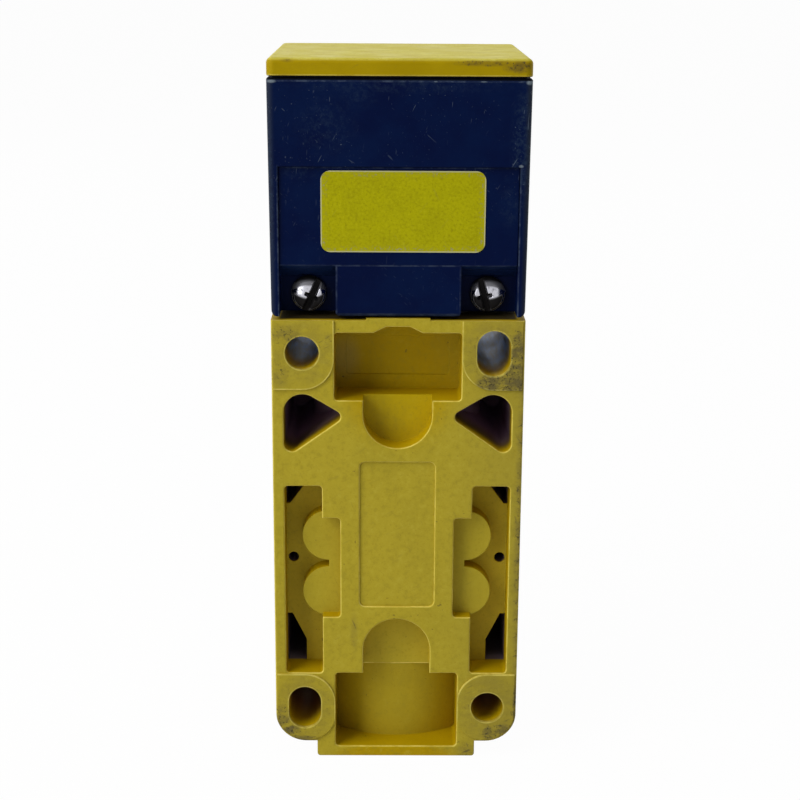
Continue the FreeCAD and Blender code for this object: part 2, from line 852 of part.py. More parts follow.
def oscillator_chip():
    """Flat package with bent legs along its two long sides."""
    half_x = chip_length / 2
    half_y = chip_width / 2
    low = board_high_z + chip_leg_thickness
    body = block(chip_x - half_x, chip_x + half_x, chip_y - half_y, chip_y + half_y, low, low + chip_height)
    legs = []
    for side in (-1, 1):
        for i in range(chip_legs_per_side):
            x = chip_x + (i - (chip_legs_per_side - 1) / 2) * chip_leg_pitch
            inner = chip_y + side * half_y
            outer = inner + side * chip_leg_reach
            bend = inner + side * chip_leg_thickness
            half = chip_leg_width / 2
            legs.append(block(x - half, x + half, min(inner, outer), max(inner, outer),
                              board_high_z, board_high_z + chip_leg_thickness))
            legs.append(block(x - half, x + half, min(inner, bend), max(inner, bend),
                              board_high_z, low + chip_height / 2))
    return body.fuse(legs).removeSplitter()


def output_transistor():
    """Flat power package on a metal tab."""
    half_x = transistor_length / 2
    half_y = transistor_width / 2
    low = board_high_z
    tab_half = half_x - transistor_tab_inset
    tab = block(transistor_x - tab_half, transistor_x + tab_half, transistor_y - half_y - transistor_tab,
                transistor_y + half_y, low, low + transistor_tab_thickness)
    body = block(transistor_x - half_x, transistor_x + half_x, transistor_y - half_y, transistor_y + half_y,
                 low, low + transistor_height)
    edges = [e for e in body.Edges if e.BoundBox.ZMin > low + transistor_height - touch]
    return body.makeChamfer(transistor_tab_thickness, edges).fuse(tab).removeSplitter()


def board_capacitors():
    """Pair of upright cans with a crimp groove near the board."""
    cans = []
    waist = can_radius - can_groove_depth
    low = board_high_z
    groove_low = low + can_groove_rise
    groove_high = groove_low + can_groove_width
    for y in (can_first_y, can_first_y + can_pitch):
        cans.append(turned([
            (0, low),
            (can_radius, low),
            (can_radius, groove_low),
            (waist, (groove_low + groove_high) / 2),
            (can_radius, groove_high),
            (can_radius, low + can_height),
            (0, low + can_height),
        ], board_half - can_inset, y))
    return Part.makeCompound(cans)


def board_resistors():
    chips = []
    x = resistor_inset - board_half
    for i in range(resistor_count):
        y = resistor_first_y + i * resistor_pitch
        chips.append(block(x - resistor_length / 2, x + resistor_length / 2,
                           y - resistor_width / 2, y + resistor_width / 2,
                           board_high_z, board_high_z + resistor_height))
    return Part.makeCompound(chips)


def protection_diode():
    """Barrel diode lying along X on the board, with a slightly raised band."""
    start = vec(diode_x - diode_length / 2, diode_y, board_high_z + diode_radius + diode_band)
    barrel = Part.makeCylinder(diode_radius, diode_length, start, vec(1, 0, 0))
    band = Part.makeCylinder(diode_radius + diode_band, diode_band_width, start + vec(diode_band_inset, 0, 0),
                             vec(1, 0, 0))
    return barrel.fuse(band).removeSplitter()


def status_lights():
    """Two round lamps lying on the board and facing the front wall."""
    lamps = []
    for x in (-light_x, light_x):
        dome_y = light_y + light_length - light_radius
        lamp = across(light_radius, x, light_z, light_y, dome_y)
        lamp = lamp.fuse(Part.makeSphere(light_radius, vec(x, dome_y, light_z)))
        foot = block(x - light_radius, x + light_radius, light_y, light_y + light_radius,
                     board_high_z, light_z)
        lamps.append(lamp.fuse(foot).removeSplitter())
    return Part.makeCompound(lamps)


def light_lenses():
    """Clear plugs in the front wall, flush with the drafted face outside."""
    inner_y = cavity_half - lens_reach
    outer_y = housing_width / 2 - head_draft / 2
    lenses = [across(lens_radius, x, light_z, inner_y, outer_y) for x in (-light_x, light_x)]
    return Part.makeCompound(lenses)


def terminal_block():
    """Insulating strip with a channel for each conductor and walls between them."""
    half = terminal_count * terminal_pitch / 2 + terminal_end_wall
    body = block(-half, half, terminal_block_rear_y, terminal_block_front_y, terminal_block_low_z,
                 terminal_block_high_z)
    lug = block(-terminal_lug_half_width, terminal_lug_half_width, terminal_block_front_y,
                terminal_block_front_y + terminal_lug_reach, terminal_block_low_z,
                terminal_block_low_z + terminal_lug_height)
    body = body.fuse(lug)
    channel_half = terminal_pitch / 2 - terminal_wall / 2
    cuts = [fixing_screw_hole()]
    for x in terminal_xs:
        cuts.append(block(x - channel_half, x + channel_half, terminal_block_rear_y - past,
                          terminal_block_front_y - terminal_wall, strip_low_z, terminal_block_high_z + past))
        cuts.append(upright(terminal_screw_radius + screw_clearance, x, terminal_screw_y,
                            terminal_block_low_z + terminal_hole_floor, strip_high_z))
    return body.cut(cuts).removeSplitter()


def terminal_strips():
    """Brass strips on the channel floors, each with a hole for its clamp screw."""
    strips = []
    for x in terminal_xs:
        strip = block(x - strip_width / 2, x + strip_width / 2, terminal_block_rear_y + strip_end_gap,
                      terminal_block_front_y - terminal_wall - strip_end_gap, strip_low_z, strip_high_z)
        hole = upright(terminal_screw_radius + screw_clearance, x, terminal_screw_y, strip_low_z - past,
                       strip_high_z + past)
        strips.append(strip.cut(hole))
    return Part.makeCompound(strips)


def cheese_head_screw(x, y, seat_z, head_radius, head_height, shank_radius, shank_length):
    """Upright cheese-head screw with a single slot across its head."""
    head = upright(head_radius, x, y, seat_z, seat_z + head_height)
    slot = block(x - head_radius, x + head_radius, y - slot_width / 2, y + slot_width / 2,
                 seat_z + head_height / 2, seat_z + head_height + past)
    return head.cut(slot).fuse(upright(shank_radius, x, y, seat_z - shank_length, seat_z)).removeSplitter()


def terminal_screws():
    seat_z = strip_high_z + terminal_wire_gap
    screws = [cheese_head_screw(x, terminal_screw_y, seat_z, terminal_head_radius, terminal_head_height,
                                terminal_screw_radius, terminal_screw_length) for x in terminal_xs]
    return Part.makeCompound(screws)


def terminal_fixing_screw():
    seat_z = terminal_block_low_z + terminal_lug_height
    return cheese_head_screw(0, fixing_screw_y, seat_z, fixing_head_radius, fixing_head_height,
                             fixing_screw_radius, fixing_screw_length)


def lead_path(x_foot, x_top):
    """Upright from the strip, across to the middle and upright again, with tangent bends."""
    end_z = board_low_z - lead_end_gap
    points = [
        vec(x_foot, 0, strip_high_z),
        vec(x_foot, 0, strip_high_z + lead_rise),
        vec(x_top, 0, base_height),
        vec(x_top, 0, end_z),
    ]
    edges = []
    start = points[0]
    for before, corner, after in zip(points, points[1:], points[2:]):
        back = (before - corner).normalize()
        ahead = (after - corner).normalize()
        half_angle = back.getAngle(ahead) / 2
        reach = lead_bend_radius / math.tan(half_angle)
        inward = (back + ahead).normalize()
        middle = corner + inward * (lead_bend_radius / math.sin(half_angle) - lead_bend_radius)
        edges.append(Part.makeLine(start, corner + back * reach))
        edges.append(Part.Arc(corner + back * reach, middle, corner + ahead * reach).toShape())
        start = corner + ahead * reach
    edges.append(Part.makeLine(start, points[-1]))
    return Part.Wire(edges)


def connection_leads():
    leads = []
    for i, x in enumerate(terminal_xs):
        x_top = (i - (terminal_count - 1) / 2) * lead_pitch
        path = lead_path(x, x_top)
        ring = Part.Wire(Part.makeCircle(lead_radius, vec(x, 0, strip_high_z), vec(0, 0, 1)))
        leads.append(path.makePipeShell([ring], True, False))
    return Part.makeCompound(leads)


pieces = {
    "base_housing": base_housing,
    "swivel_seal": swivel_seal,
    "terminal_block": terminal_block,
    "terminal_strips": terminal_strips,
    "terminal_screws": terminal_screws,
    "terminal_fixing_screw": terminal_fixing_screw,
    "connection_leads": connection_leads,
    "head_housing": head_housing,
    "rear_panel": rear_panel,
    "blank_label": blank_label,
    "clamp_screws": clamp_screws,
    "active_face_cap": active_face_cap,
    "ferrite_core": ferrite_core,
    "coil_bobbin": coil_bobbin,
    "coil_winding": coil_winding,
    "coil_wires": coil_wires,
    "circuit_board": circuit_board,
    "potting_resin": potting_resin,
    "oscillator_chip": oscillator_chip,
    "output_transistor": output_transistor,
    "board_capacitors": board_capacitors,
    "board_resistors": board_resistors,
    "protection_diode": protection_diode,
    "status_lights": status_lights,
    "light_lenses": light_lenses,
}

os.makedirs("parts", exist_ok=True)
for name, make in pieces.items():
    shape = make()
    box = shape.BoundBox
    print(name, "solids", len(shape.Solids), "valid", shape.isValid(), "volume", round(shape.Volume, 2),
          "box", [round(v, 2) for v in (box.XMin, box.YMin, box.ZMin, box.XMax, box.YMax, box.ZMax)])
    shape.exportStep("parts/" + name + ".step")
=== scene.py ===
# %% [markdown]
# # Dressing an inductive proximity sensor
# The part is a yellow moulded base with a dark blue head that turns on it. Its solids come from CAD and are
# loaded as a fixed frame. This lesson gives every solid a finish, adds the small turned and threaded pieces
# that CAD leaves plain, and sets up the camera, the floor and the light of the photograph.

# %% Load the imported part
import json
import math

import bmesh
import bpy
import numpy as np
from mathutils import Matrix, Vector


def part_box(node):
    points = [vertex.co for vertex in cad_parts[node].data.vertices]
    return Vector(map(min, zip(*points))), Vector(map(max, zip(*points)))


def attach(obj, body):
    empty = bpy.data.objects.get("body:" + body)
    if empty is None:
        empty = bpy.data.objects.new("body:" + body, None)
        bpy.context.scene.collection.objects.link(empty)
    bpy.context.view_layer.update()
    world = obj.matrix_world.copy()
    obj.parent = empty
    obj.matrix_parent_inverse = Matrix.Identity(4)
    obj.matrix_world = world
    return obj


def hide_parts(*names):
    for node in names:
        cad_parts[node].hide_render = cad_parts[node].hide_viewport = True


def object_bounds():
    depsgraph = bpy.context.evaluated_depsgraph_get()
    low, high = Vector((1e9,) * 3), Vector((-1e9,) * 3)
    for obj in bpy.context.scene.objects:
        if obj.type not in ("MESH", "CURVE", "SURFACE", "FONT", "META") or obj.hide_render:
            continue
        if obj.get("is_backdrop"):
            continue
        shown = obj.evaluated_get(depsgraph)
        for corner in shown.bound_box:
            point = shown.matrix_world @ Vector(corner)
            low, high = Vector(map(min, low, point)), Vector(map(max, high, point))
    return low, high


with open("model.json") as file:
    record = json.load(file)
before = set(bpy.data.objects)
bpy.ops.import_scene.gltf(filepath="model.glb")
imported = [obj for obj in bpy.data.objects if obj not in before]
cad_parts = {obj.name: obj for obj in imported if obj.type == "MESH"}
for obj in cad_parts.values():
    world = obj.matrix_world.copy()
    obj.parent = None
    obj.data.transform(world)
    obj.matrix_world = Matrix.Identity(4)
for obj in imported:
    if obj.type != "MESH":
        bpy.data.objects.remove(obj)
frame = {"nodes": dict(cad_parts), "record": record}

scene = bpy.context.scene
nodes = frame["nodes"]
cad_low, cad_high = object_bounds()
mm = 0.001
print("nodes:", len(nodes), "box in mm:", [round(v / mm, 2) for v in cad_high - cad_low])

# %% [markdown]
# ## Camera
# The photograph looks at the mounting side from a little above. The camera's place and angles were worked
# out from the four mounting holes, whose spacing is known, and the corners of the cap. A camera can be
# aimed with a constraint, but here three small turns are multiplied into one matrix, because the roll and
# the yaw of a hand-held picture are known numbers too.

# %% Camera
camera_place = np.array([-1.8, -275.7, 130.2]) * mm
pitch, yaw, roll = (math.radians(angle) for angle in (15.07, -0.48, 0.35))
focal_px, picture_px, sensor_mm = 1688.0, 800, 36


def turn(axis, angle):
    """Rotation about one axis of the picture, x right, y down or z forward: the other two axes are mixed by
    the cosine and the sine of the angle."""
    c, s = math.cos(angle), math.sin(angle)
    i, j = [(1, 2), (2, 0), (0, 1)][axis]
    m = np.eye(3)
    m[i, i] = m[j, j] = c
    m[i, j], m[j, i] = -s, s
    return m


# Rows of a level camera that looks along +Y: right, down and ahead.
level = np.array([[1, 0, 0], [0, 0, -1], [0, 1, 0]])
right, down, ahead = turn(2, roll) @ turn(0, pitch) @ turn(1, yaw) @ level
camera_data = bpy.data.cameras.new("camera")
camera_data.sensor_width = sensor_mm
camera_data.lens = sensor_mm * focal_px / picture_px
camera_data.clip_start, camera_data.clip_end = 0.01, 20
camera = bpy.data.objects.new("camera", camera_data)
camera_axes = np.eye(4)
camera_axes[:3, :4] = np.column_stack([right, -down, -ahead, camera_place])
camera.matrix_world = Matrix(camera_axes.tolist())
scene.collection.objects.link(camera)
scene.camera = camera
print("lens in mm:", round(camera_data.lens, 1))

# %% [markdown]
# ## Node helpers
# A finish is a small graph of shader nodes. It could be drawn by hand in the shader editor, but written as
# code it can be read from top to bottom and used again. These helpers add a node or two each and take
# either a number or the output of another node, so that a finish further down reads as a recipe.

# %% A new finish and its sockets
def start_finish(name):
    """New material with a Principled shader; returns the material, its tree, the shader and Object
    coordinates."""
    material = bpy.data.materials.new(name)
    material.use_nodes = True
    tree = material.node_tree
    shader = tree.nodes["Principled BSDF"]
    place = tree.nodes.new("ShaderNodeTexCoord").outputs["Object"]
    return material, tree, shader, place


def end_finish(material, tree, shader, colour, roughness, normal=None):
    """Links colour, roughness and a relief, if there is one, to the shader, and prints how many nodes there
    are."""
    tree.links.new(colour, shader.inputs["Base Color"])
    tree.links.new(roughness, shader.inputs["Roughness"])
    if normal:
        tree.links.new(normal, shader.inputs["Normal"])
    print(material.name, "nodes", len(tree.nodes))
    return material


def feed(tree, socket, value):
    """Links the output of another node to a socket, or writes a number or a colour into it."""
    if isinstance(value, bpy.types.NodeSocket):
        tree.links.new(value, socket)
    else:
        socket.default_value = value


# %% Sums, steps and shares
def maths(tree, operation, a, b=0.0):
    """Result of one Math node."""
    n = tree.nodes.new("ShaderNodeMath")
    n.operation = operation
    feed(tree, n.inputs[0], a)
    feed(tree, n.inputs[1], b)
    return n.outputs[0]


def minus(tree, a, b):
    """The difference a - b."""
    return maths(tree, "SUBTRACT", a, b)


def unsigned(tree, value):
    """The value without its sign."""
    return maths(tree, "ABSOLUTE", value)


def both(tree, *shares):
    """Product of several values: of shares, it is near 1 only where all of them are."""
    product = shares[0]
    for share in shares[1:]:
        product = maths(tree, "MULTIPLY", product, share)
    return product


def either(tree, *shares):
    """Largest of several values: of shares, it is near 1 where any of them is."""
    most = shares[0]
    for share in shares[1:]:
        most = maths(tree, "MAXIMUM", most, share)
    return most


def ease(tree, value, low, high, to_low=0.0, to_high=1.0):
    """Smooth step: to_low where the value is at low, to_high where it is at high, an S-curve between."""
    n = tree.nodes.new("ShaderNodeMapRange")
    n.interpolation_type = "SMOOTHSTEP"
    feed(tree, n.inputs[0], value)
    for i, number in enumerate((low, high, to_low, to_high)):
        n.inputs[i + 1].default_value = number
    return n.outputs[0]


def ease_mm(tree, value, low, high, to_low=0.0, to_high=1.0):
    """The same step between two places that are given in millimetres."""
    return ease(tree, value, low * mm, high * mm, to_low, to_high)


def band(tree, value, low, high, fade=0.05):
    """1 where a place or distance lies between two limits in millimetres, falling to 0 just outside
    them."""
    return both(tree, ease_mm(tree, value, low - fade, low), ease_mm(tree, value, high, high + fade, 1, 0))


# %% Places, directions and colours
def split(tree, place):
    """X, Y and Z of a vector."""
    n = tree.nodes.new("ShaderNodeSeparateXYZ")
    tree.links.new(place, n.inputs[0])
    return n.outputs


def facing(tree):
    """X, Y and Z of the surface normal, in the axes of the object."""
    return split(tree, tree.nodes.new("ShaderNodeTexCoord").outputs["Normal"])


def blend(tree, share, a, b):
    """Colour a where share is 0, colour b where it is 1."""
    n = tree.nodes.new("ShaderNodeMix")
    n.data_type = "RGBA"
    feed(tree, n.inputs[0], share)
    feed(tree, n.inputs[6], a if isinstance(a, bpy.types.NodeSocket) else (*a, 1))
    feed(tree, n.inputs[7], b if isinstance(b, bpy.types.NodeSocket) else (*b, 1))
    return n.outputs[2]


# %% Clouds, scratches and blots
def noise(tree, place, scale, detail=2.0, stretch=None, rough=0.5, lean=0.0):
    """Cloudy values from 0 to 1, one cloud about 1/scale metres wide, drawn out along the axes by the given
    factors if asked, with those axes leaning about Y by an angle in degrees."""
    if stretch:
        mapping = tree.nodes.new("ShaderNodeMapping")
        mapping.vector_type = "TEXTURE"
        mapping.inputs["Scale"].default_value = stretch
        mapping.inputs["Rotation"].default_value = (0, math.radians(lean), 0)
        tree.links.new(place, mapping.inputs["Vector"])
        place = mapping.outputs["Vector"]
    n = tree.nodes.new("ShaderNodeTexNoise")
    tree.links.new(place, n.inputs["Vector"])
    n.inputs["Scale"].default_value = scale
    n.inputs["Detail"].default_value = detail
    n.inputs["Roughness"].default_value = rough
    return n.outputs[0]


def scratches(tree, place, scale, lean, low=0.70, high=0.76):
    """Hair-fine marks about seven times as long as wide, leaning from upright by an angle in degrees."""
    return ease(tree, noise(tree, place, scale, 1.0, (1, 1, 7), 0.5, lean), low, high)


def spot(tree, place, centre, reach, full=0.2, strength=1.0):
    """Soft blot: its strength up to a share of the way out, 0 beyond an ellipsoid with the given reaches in
    mm."""
    mapping = tree.nodes.new("ShaderNodeMapping")
    mapping.inputs["Scale"].default_value = [1 / (r * mm) for r in reach]
    mapping.inputs["Location"].default_value = [-c / r for c, r in zip(centre, reach)]
    tree.links.new(place, mapping.inputs["Vector"])
    length = tree.nodes.new("ShaderNodeVectorMath")
    length.operation = "LENGTH"
    tree.links.new(mapping.outputs["Vector"], length.inputs[0])
    return ease(tree, length.outputs["Value"], 1.0, full, 0.0, strength)


def spots(tree, place, blots):
    """Several blots joined: the strongest one counts."""
    return either(tree, *(spot(tree, place, *blot) for blot in blots))


# %% Relief and rounded edges
def relief(tree, height, strength, depth_mm, normal=None):
    """Normals tipped by the slope of a height, on top of other normals if they are given."""
    bump = tree.nodes.new("ShaderNodeBump")
    bump.inputs["Strength"].default_value = strength
    bump.inputs["Distance"].default_value = depth_mm * mm
    tree.links.new(height, bump.inputs["Height"])
    if normal:
        tree.links.new(normal, bump.inputs["Normal"])
    return bump.outputs[0]


def soft_edges(tree, radius_mm, height, strength, depth_mm):
    """Normals rounded over sharp edges, as a mould leaves them, with a fine relief on top."""
    bevel = tree.nodes.new("ShaderNodeBevel")
    bevel.samples = 6
    bevel.inputs["Radius"].default_value = radius_mm * mm
    return relief(tree, height, strength, depth_mm, bevel.outputs[0])


# %% [markdown]
# ## Yellow moulded plastic
# Base and cap are moulded in the same yellow. The mould's spark-eroded skin gives a fine grain, and the
# colour clouds a little. Use has left a film of dust on what faces the mounting panel, rubbed edges and grey
# smears with specks near the corners. Painted light is added as well: highlights on the pale edges, shade in
# the cores, under the head, in the groove of the cap and in the lower holes, brighter sunk floors, and a
# sheen on the top of the cap and in the upper holes. A painted picture could carry all this, but marks
# placed in millimetres stay sharp at any distance, and marks that ask which way a surface faces lie where
# dust would lie.
#
# The pads around the four mounting holes are worn most. The record gives the holes' spacing and size, so a
# finish can work out how far a point lies from the wall of its hole and from the edge of its pad.

# %% Distances from the mounting holes and pads
mounts = {mount["name"]: mount for mount in frame["record"]["mounts"]}
slot_sizes = {key: value * mm for key, value in mounts["mounting_slots"]["dims"].items()}
hole_x, hole_rise = slot_sizes["spacing_x_mm"] / 2, slot_sizes["spacing_y_mm"] / 2
holes_z, hole_radius = mounts["mounting_slots"]["pos_m"][2], slot_sizes["hole_r_mm"]
slot_run_half = slot_sizes["slot_length_mm"] / 2 - hole_radius
pad_reach, pad_rise, pad_round = 5.0 * mm, 5.9 * mm, 5.0 * mm
print("holes in mm: aside", round(hole_x / mm, 2), "up and down", round(hole_rise / mm, 2),
      "from a height of", round(holes_z / mm, 2))


def corner_length(tree, a, b):
    """Length of the vector (a, b), with a negative side counted as zero."""
    a, b = maths(tree, "MAXIMUM", a, 0.0), maths(tree, "MAXIMUM", b, 0.0)
    return maths(tree, "SQRT", maths(tree, "ADD", both(tree, a, a), both(tree, b, b)))


def from_hole(tree, place):
    """Distances from the wall of the nearest mounting hole and from the edge of the pad around it, both
    negative inside. The four corners are folded onto one. Where x and height have the same sign, the hole
    is a slot."""
    x, _, z = split(tree, place)
    up = minus(tree, z, holes_z)
    aside = minus(tree, unsigned(tree, x), hole_x)
    along = minus(tree, unsigned(tree, up), hole_rise)
    slotted = maths(tree, "GREATER_THAN", both(tree, x, up), 0.0)
    past_slot = minus(tree, unsigned(tree, along), both(tree, slotted, slot_run_half))
    wall = minus(tree, corner_length(tree, unsigned(tree, aside), past_slot), hole_radius)
    inward = minus(tree, pad_round - pad_reach, aside)
    to_middle = minus(tree, pad_round - pad_rise, along)
    return wall, minus(tree, corner_length(tree, inward, to_middle), pad_round)


# %% Layers of dust and painted light on the base
dust_film = (0.460, 0.372, 0.032)
# Painted light: the next two colours brighten the sunk floors and the upper tongue, which lie deep.
painted_light_floor = (0.570, 0.445, 0.035)
painted_light_tongue = (0.570, 0.420, 0.004)
brown_stain = (0.330, 0.262, 0.022)
pale_fleck = (0.560, 0.465, 0.060)
handled_grey = (0.250, 0.205, 0.045)
corner_grey = (0.330, 0.280, 0.110)
clean_places = [((0, -15, 63), (14, 12, 14)), ((0, -20, -0.6), (14, 5, 4.4))]
dusty_corner = (-8.6, -11.2, 66), (3.6, 2, 5), 0.2, 0.4


def layers_on_base(tree, place):
    """Dust on what faces the mounting panel, sunk pocket floors and the upper tongue painted brighter as
    painted light, stains, darker and paler flecks, and the right-hand side, which has been handled most."""
    x, y, z = split(tree, place)
    to_panel = ease(tree, facing(tree)["Y"], -0.5, -0.85)
    clean = spots(tree, place, clean_places)
    shallow = ease_mm(tree, y, -13.5, -17.5, 0.25, 0.85)
    film = both(tree, shallow, to_panel, ease(tree, clean, 0, 0.6, 1, 0))
    # Painted light on the sunk floors and on the upper tongue.
    sunk = both(tree, to_panel, ease_mm(tree, y, -17.0, -16.0), ease_mm(tree, y, -12.0, -13.0))
    lit_floors = both(tree, sunk, ease_mm(tree, z, 14.8, 15.2, 0, 0.75), ease_mm(tree, z, 50.0, 49.0))
    lit_upper_tongue = both(tree, sunk, ease_mm(tree, z, 49.0, 50.0, 0, 0.65))
    drifts = noise(tree, place, 75, 6.0, (1, 1, 2), 0.66)
    stains = both(tree, to_panel, ease(tree, drifts, 0.46, 0.68, 0, 0.3))
    mottle = noise(tree, place, 1000, 5.0, rough=0.7)
    outer = both(tree, to_panel, ease_mm(tree, y, -17.0, -19.0, 0.5, 1))
    dark = both(tree, outer, ease(tree, mottle, 0.50, 0.68, 0, 0.50))
    pale = both(tree, outer, ease(tree, mottle, 0.48, 0.32, 0, 0.26))
    handled = both(tree, to_panel, ease_mm(tree, x, 4, 19.5, 0, 0.26), ease_mm(tree, y, -18.6, -19.2))
    corner = spot(tree, place, *dusty_corner)
    return [(film, dust_film), (lit_floors, painted_light_floor), (lit_upper_tongue, painted_light_tongue), (stains, brown_stain),
            (dark, brown_stain), (pale, pale_fleck), (handled, handled_grey), (corner, corner_grey)]


# %% Painted shade and sheen in the holes, cores and gap of the base
# Painted shade tones for the cores, the gap under the head and the lower hole walls, then a painted sheen.
core_mouth = (0.120, 0.072, 0.014)
core_depth = (0.400, 0.270, 0.420)
narrow_core = (0.150, 0.120, 0.160)
painted_gap_shadow = (0.016, 0.013, 0.010)
brown_wall = (0.300, 0.130, 0.110)
# Painted reflection: grey-blue sheen in the upper bores.
sheen_grey = (0.60, 0.73, 1.00)


def hole_walls(tree, place):
    """1 on the walls of the mounting holes, 0 elsewhere."""
    return ease_mm(tree, unsigned(tree, from_hole(tree, place)[0]), 0.3, 0.2)


def sheen_in_bores(tree, place):
    """Painted sheen on the walls of the two upper holes from some way in, in streaks along the holes."""
    _, y, z = split(tree, place)
    streaks = ease(tree, noise(tree, place, 900, 3.0, (1, 6, 1), 0.6), 0.3, 0.7, 0.55, 1)
    deep = both(tree, ease_mm(tree, y, -17, -10), ease_mm(tree, y, 18, 13))
    return both(tree, hole_walls(tree, place), streaks, ease_mm(tree, z, 60, 61), deep)


def shade_and_sheen_on_base(tree, place):
    """Painted shade in the cores behind the pockets, in the gap under the head and, brown, on the walls of
    the lower mounting holes; a painted grey-blue sheen on the walls of the upper ones."""
    x, y, z = split(tree, place)
    across = unsigned(tree, x)
    inside = ease_mm(tree, y, 9.0, 8.3, 0, 0.95)
    wide = both(tree, band(tree, z, 51.4, 64.5), band(tree, across, 10.3, 18.1))
    tip = both(tree, band(tree, z, 55.5, 60.6), band(tree, across, 8.1, 10.4))
    triangles = both(tree, either(tree, wide, tip), inside)
    mouths = both(tree, triangles, ease_mm(tree, y, -19.4, -15))
    depths = both(tree, triangles, ease_mm(tree, y, -17, -9))
    narrow = both(tree, band(tree, z, 14.8, 47.2), band(tree, across, 13.9, 18.1),
                  ease_mm(tree, y, -14.25, -13.6), inside)
    outermost = either(tree, across, unsigned(tree, y))
    gap = both(tree, ease_mm(tree, z, 73.7, 73.95), ease_mm(tree, outermost, 18.9, 18.2, 0, 0.95))
    lower_walls = both(tree, hole_walls(tree, place), ease_mm(tree, z, 20, 18, 0, 0.7),
                       ease_mm(tree, y, -18, -10), ease_mm(tree, y, 18, 13))
    return [(mouths, core_mouth), (depths, core_depth), (narrow, narrow_core), (gap, painted_gap_shadow),
            (lower_walls, brown_wall), (sheen_in_bores(tree, place), sheen_grey)]


# %% Pale edges of the base: rubbed, and partly a painted highlight
def pale_edges_on_base(tree, place):
    """Pale edges, rubbed and partly a painted highlight: just behind the rear face and the pads, where the
    edges of both are, along the edges on the pads, and the edge at which the lower tongue drops into the
    pocket of the cable entry."""
    x, y, z = split(tree, place)
    behind = either(tree, band(tree, y, -19.95, -19.76), band(tree, y, -19.64, -19.45))
    wall, edge = from_hole(tree, place)
    rings = either(tree, band(tree, wall, 0.0, 0.15), band(tree, edge, -0.17, 0.0))
    rings = both(tree, rings, ease_mm(tree, y, -19.8, -19.9))
    drop = both(tree, band(tree, z, 14.72, 14.95), band(tree, y, -16.2, -15.0),
                ease_mm(tree, unsigned(tree, x), 6.4, 6.0))
    return either(tree, behind, rings, drop)


# %% Painted sheen, painted shade and rubbed edge of the cap
sheen_top = (0.615, 0.545, 0.078)
dull_streak = (0.500, 0.405, 0.030)
pale_streak = (0.720, 0.670, 0.180)
groove_shade = (0.006, 0.006, 0.009)


def layers_on_cap(tree, place):
    """The top of the cap is painted paler as a painted sheen, in streaks and flecks, and its sides are not.
    """
    top = ease_mm(tree, split(tree, place)["Z"], 113.5, 113.95, 0, 0.92)
    streaks = noise(tree, place, 560, 7.0, (3, 2, 1), 0.78, 12)
    return [(top, sheen_top), (both(tree, top, ease(tree, streaks, 0.49, 0.64, 0, 0.6)), dull_streak),
            (both(tree, top, ease(tree, streaks, 0.49, 0.36, 0, 0.6)), pale_streak)]


def shade_on_cap(tree, place):
    """The groove over the head is painted dark, as shade."""
    return [(band(tree, split(tree, place)["Z"], 110.9, 111.36), groove_shade)]


def rubbed_on_cap(tree, place):
    """Lower edge of the cap's side, just over the groove, less than half rubbed."""
    return both(tree, band(tree, split(tree, place)["Z"], 111.41, 111.55), 0.45)


# %% Yellow plastic
grain_brown = (0.33, 0.235, 0.010)
# Pale edges: rubbed, and on the base partly a painted highlight.
pale_edge_yellow = (0.76, 0.64, 0.13)
black_speck = (0.040, 0.033, 0.022)
brown_dot = (0.120, 0.092, 0.020)
hair_brown = (0.085, 0.070, 0.035)


def yellow_plastic(name, tones, smear, blots, layers_of, pale_edges_of, painted_light_of, sheen_of=None):
    """Cloudy yellow under these, each over the last: layers of dust and painted light, dark grain, pale
    edges, rubbed and on the base partly a painted highlight, smears with specks where the blots say,
    scattered dots, hair-fine scratches, and painted shade and sheen."""
    material, tree, shader, place = start_finish(name)
    grain = noise(tree, place, 2600, 3.0)
    clouds = noise(tree, place, 180, 3.0)
    colour = blend(tree, ease(tree, clouds, 0.3, 0.7), *tones)
    for share, layer in layers_of(tree, place):
        colour = blend(tree, share, colour, layer)
    colour = blend(tree, ease(tree, grain, 0.56, 0.72, 0, 0.35), colour, grain_brown)
    patchy = both(tree, ease(tree, clouds, 0.25, 0.6, 0.6, 0.9),
                  ease(tree, noise(tree, place, 480, 5.0, rough=0.66), 0.40, 0.58, 0.5, 1))
    colour = blend(tree, both(tree, pale_edges_of(tree, place), patchy), colour, pale_edge_yellow)
    worn = spots(tree, place, blots)
    haze = both(tree, worn, ease(tree, noise(tree, place, 700, 6.0, (2, 1, 1), 0.7), 0.34, 0.60, 0.25, 1))
    colour = blend(tree, both(tree, haze, 0.85), colour, smear)
    crumbs = maths(tree, "ADD", noise(tree, place, 1900, 5.0, rough=0.72), both(tree, worn, 0.06))
    specks = both(tree, ease(tree, worn, 0.1, 0.6, 0, 0.85), ease(tree, crumbs, 0.57, 0.67))
    colour = blend(tree, specks, colour, black_speck)
    colour = blend(tree, ease(tree, noise(tree, place, 1100, 2.0), 0.735, 0.77, 0, 0.6), colour, brown_dot)
    lines = either(tree, scratches(tree, place, 2300, 62), scratches(tree, place, 2700, -24))
    colour = blend(tree, both(tree, lines, ease(tree, worn, 0, 0.4, 0.10, 0.6)), colour, hair_brown)
    # Painted shade, and on the base a painted sheen, over everything.
    for share, layer in painted_light_of(tree, place):
        colour = blend(tree, share, colour, layer)
    # The painted sheen in the bores also makes their walls partly metallic.
    if sheen_of:
        tree.links.new(both(tree, sheen_of(tree, place), 0.5), shader.inputs["Metallic"])
    shader.inputs["Specular IOR Level"].default_value = 0.06
    return end_finish(material, tree, shader, colour, ease(tree, clouds, 0.3, 0.7, 0.42, 0.54),
                      soft_edges(tree, 0.22, grain, 0.22, 0.04))


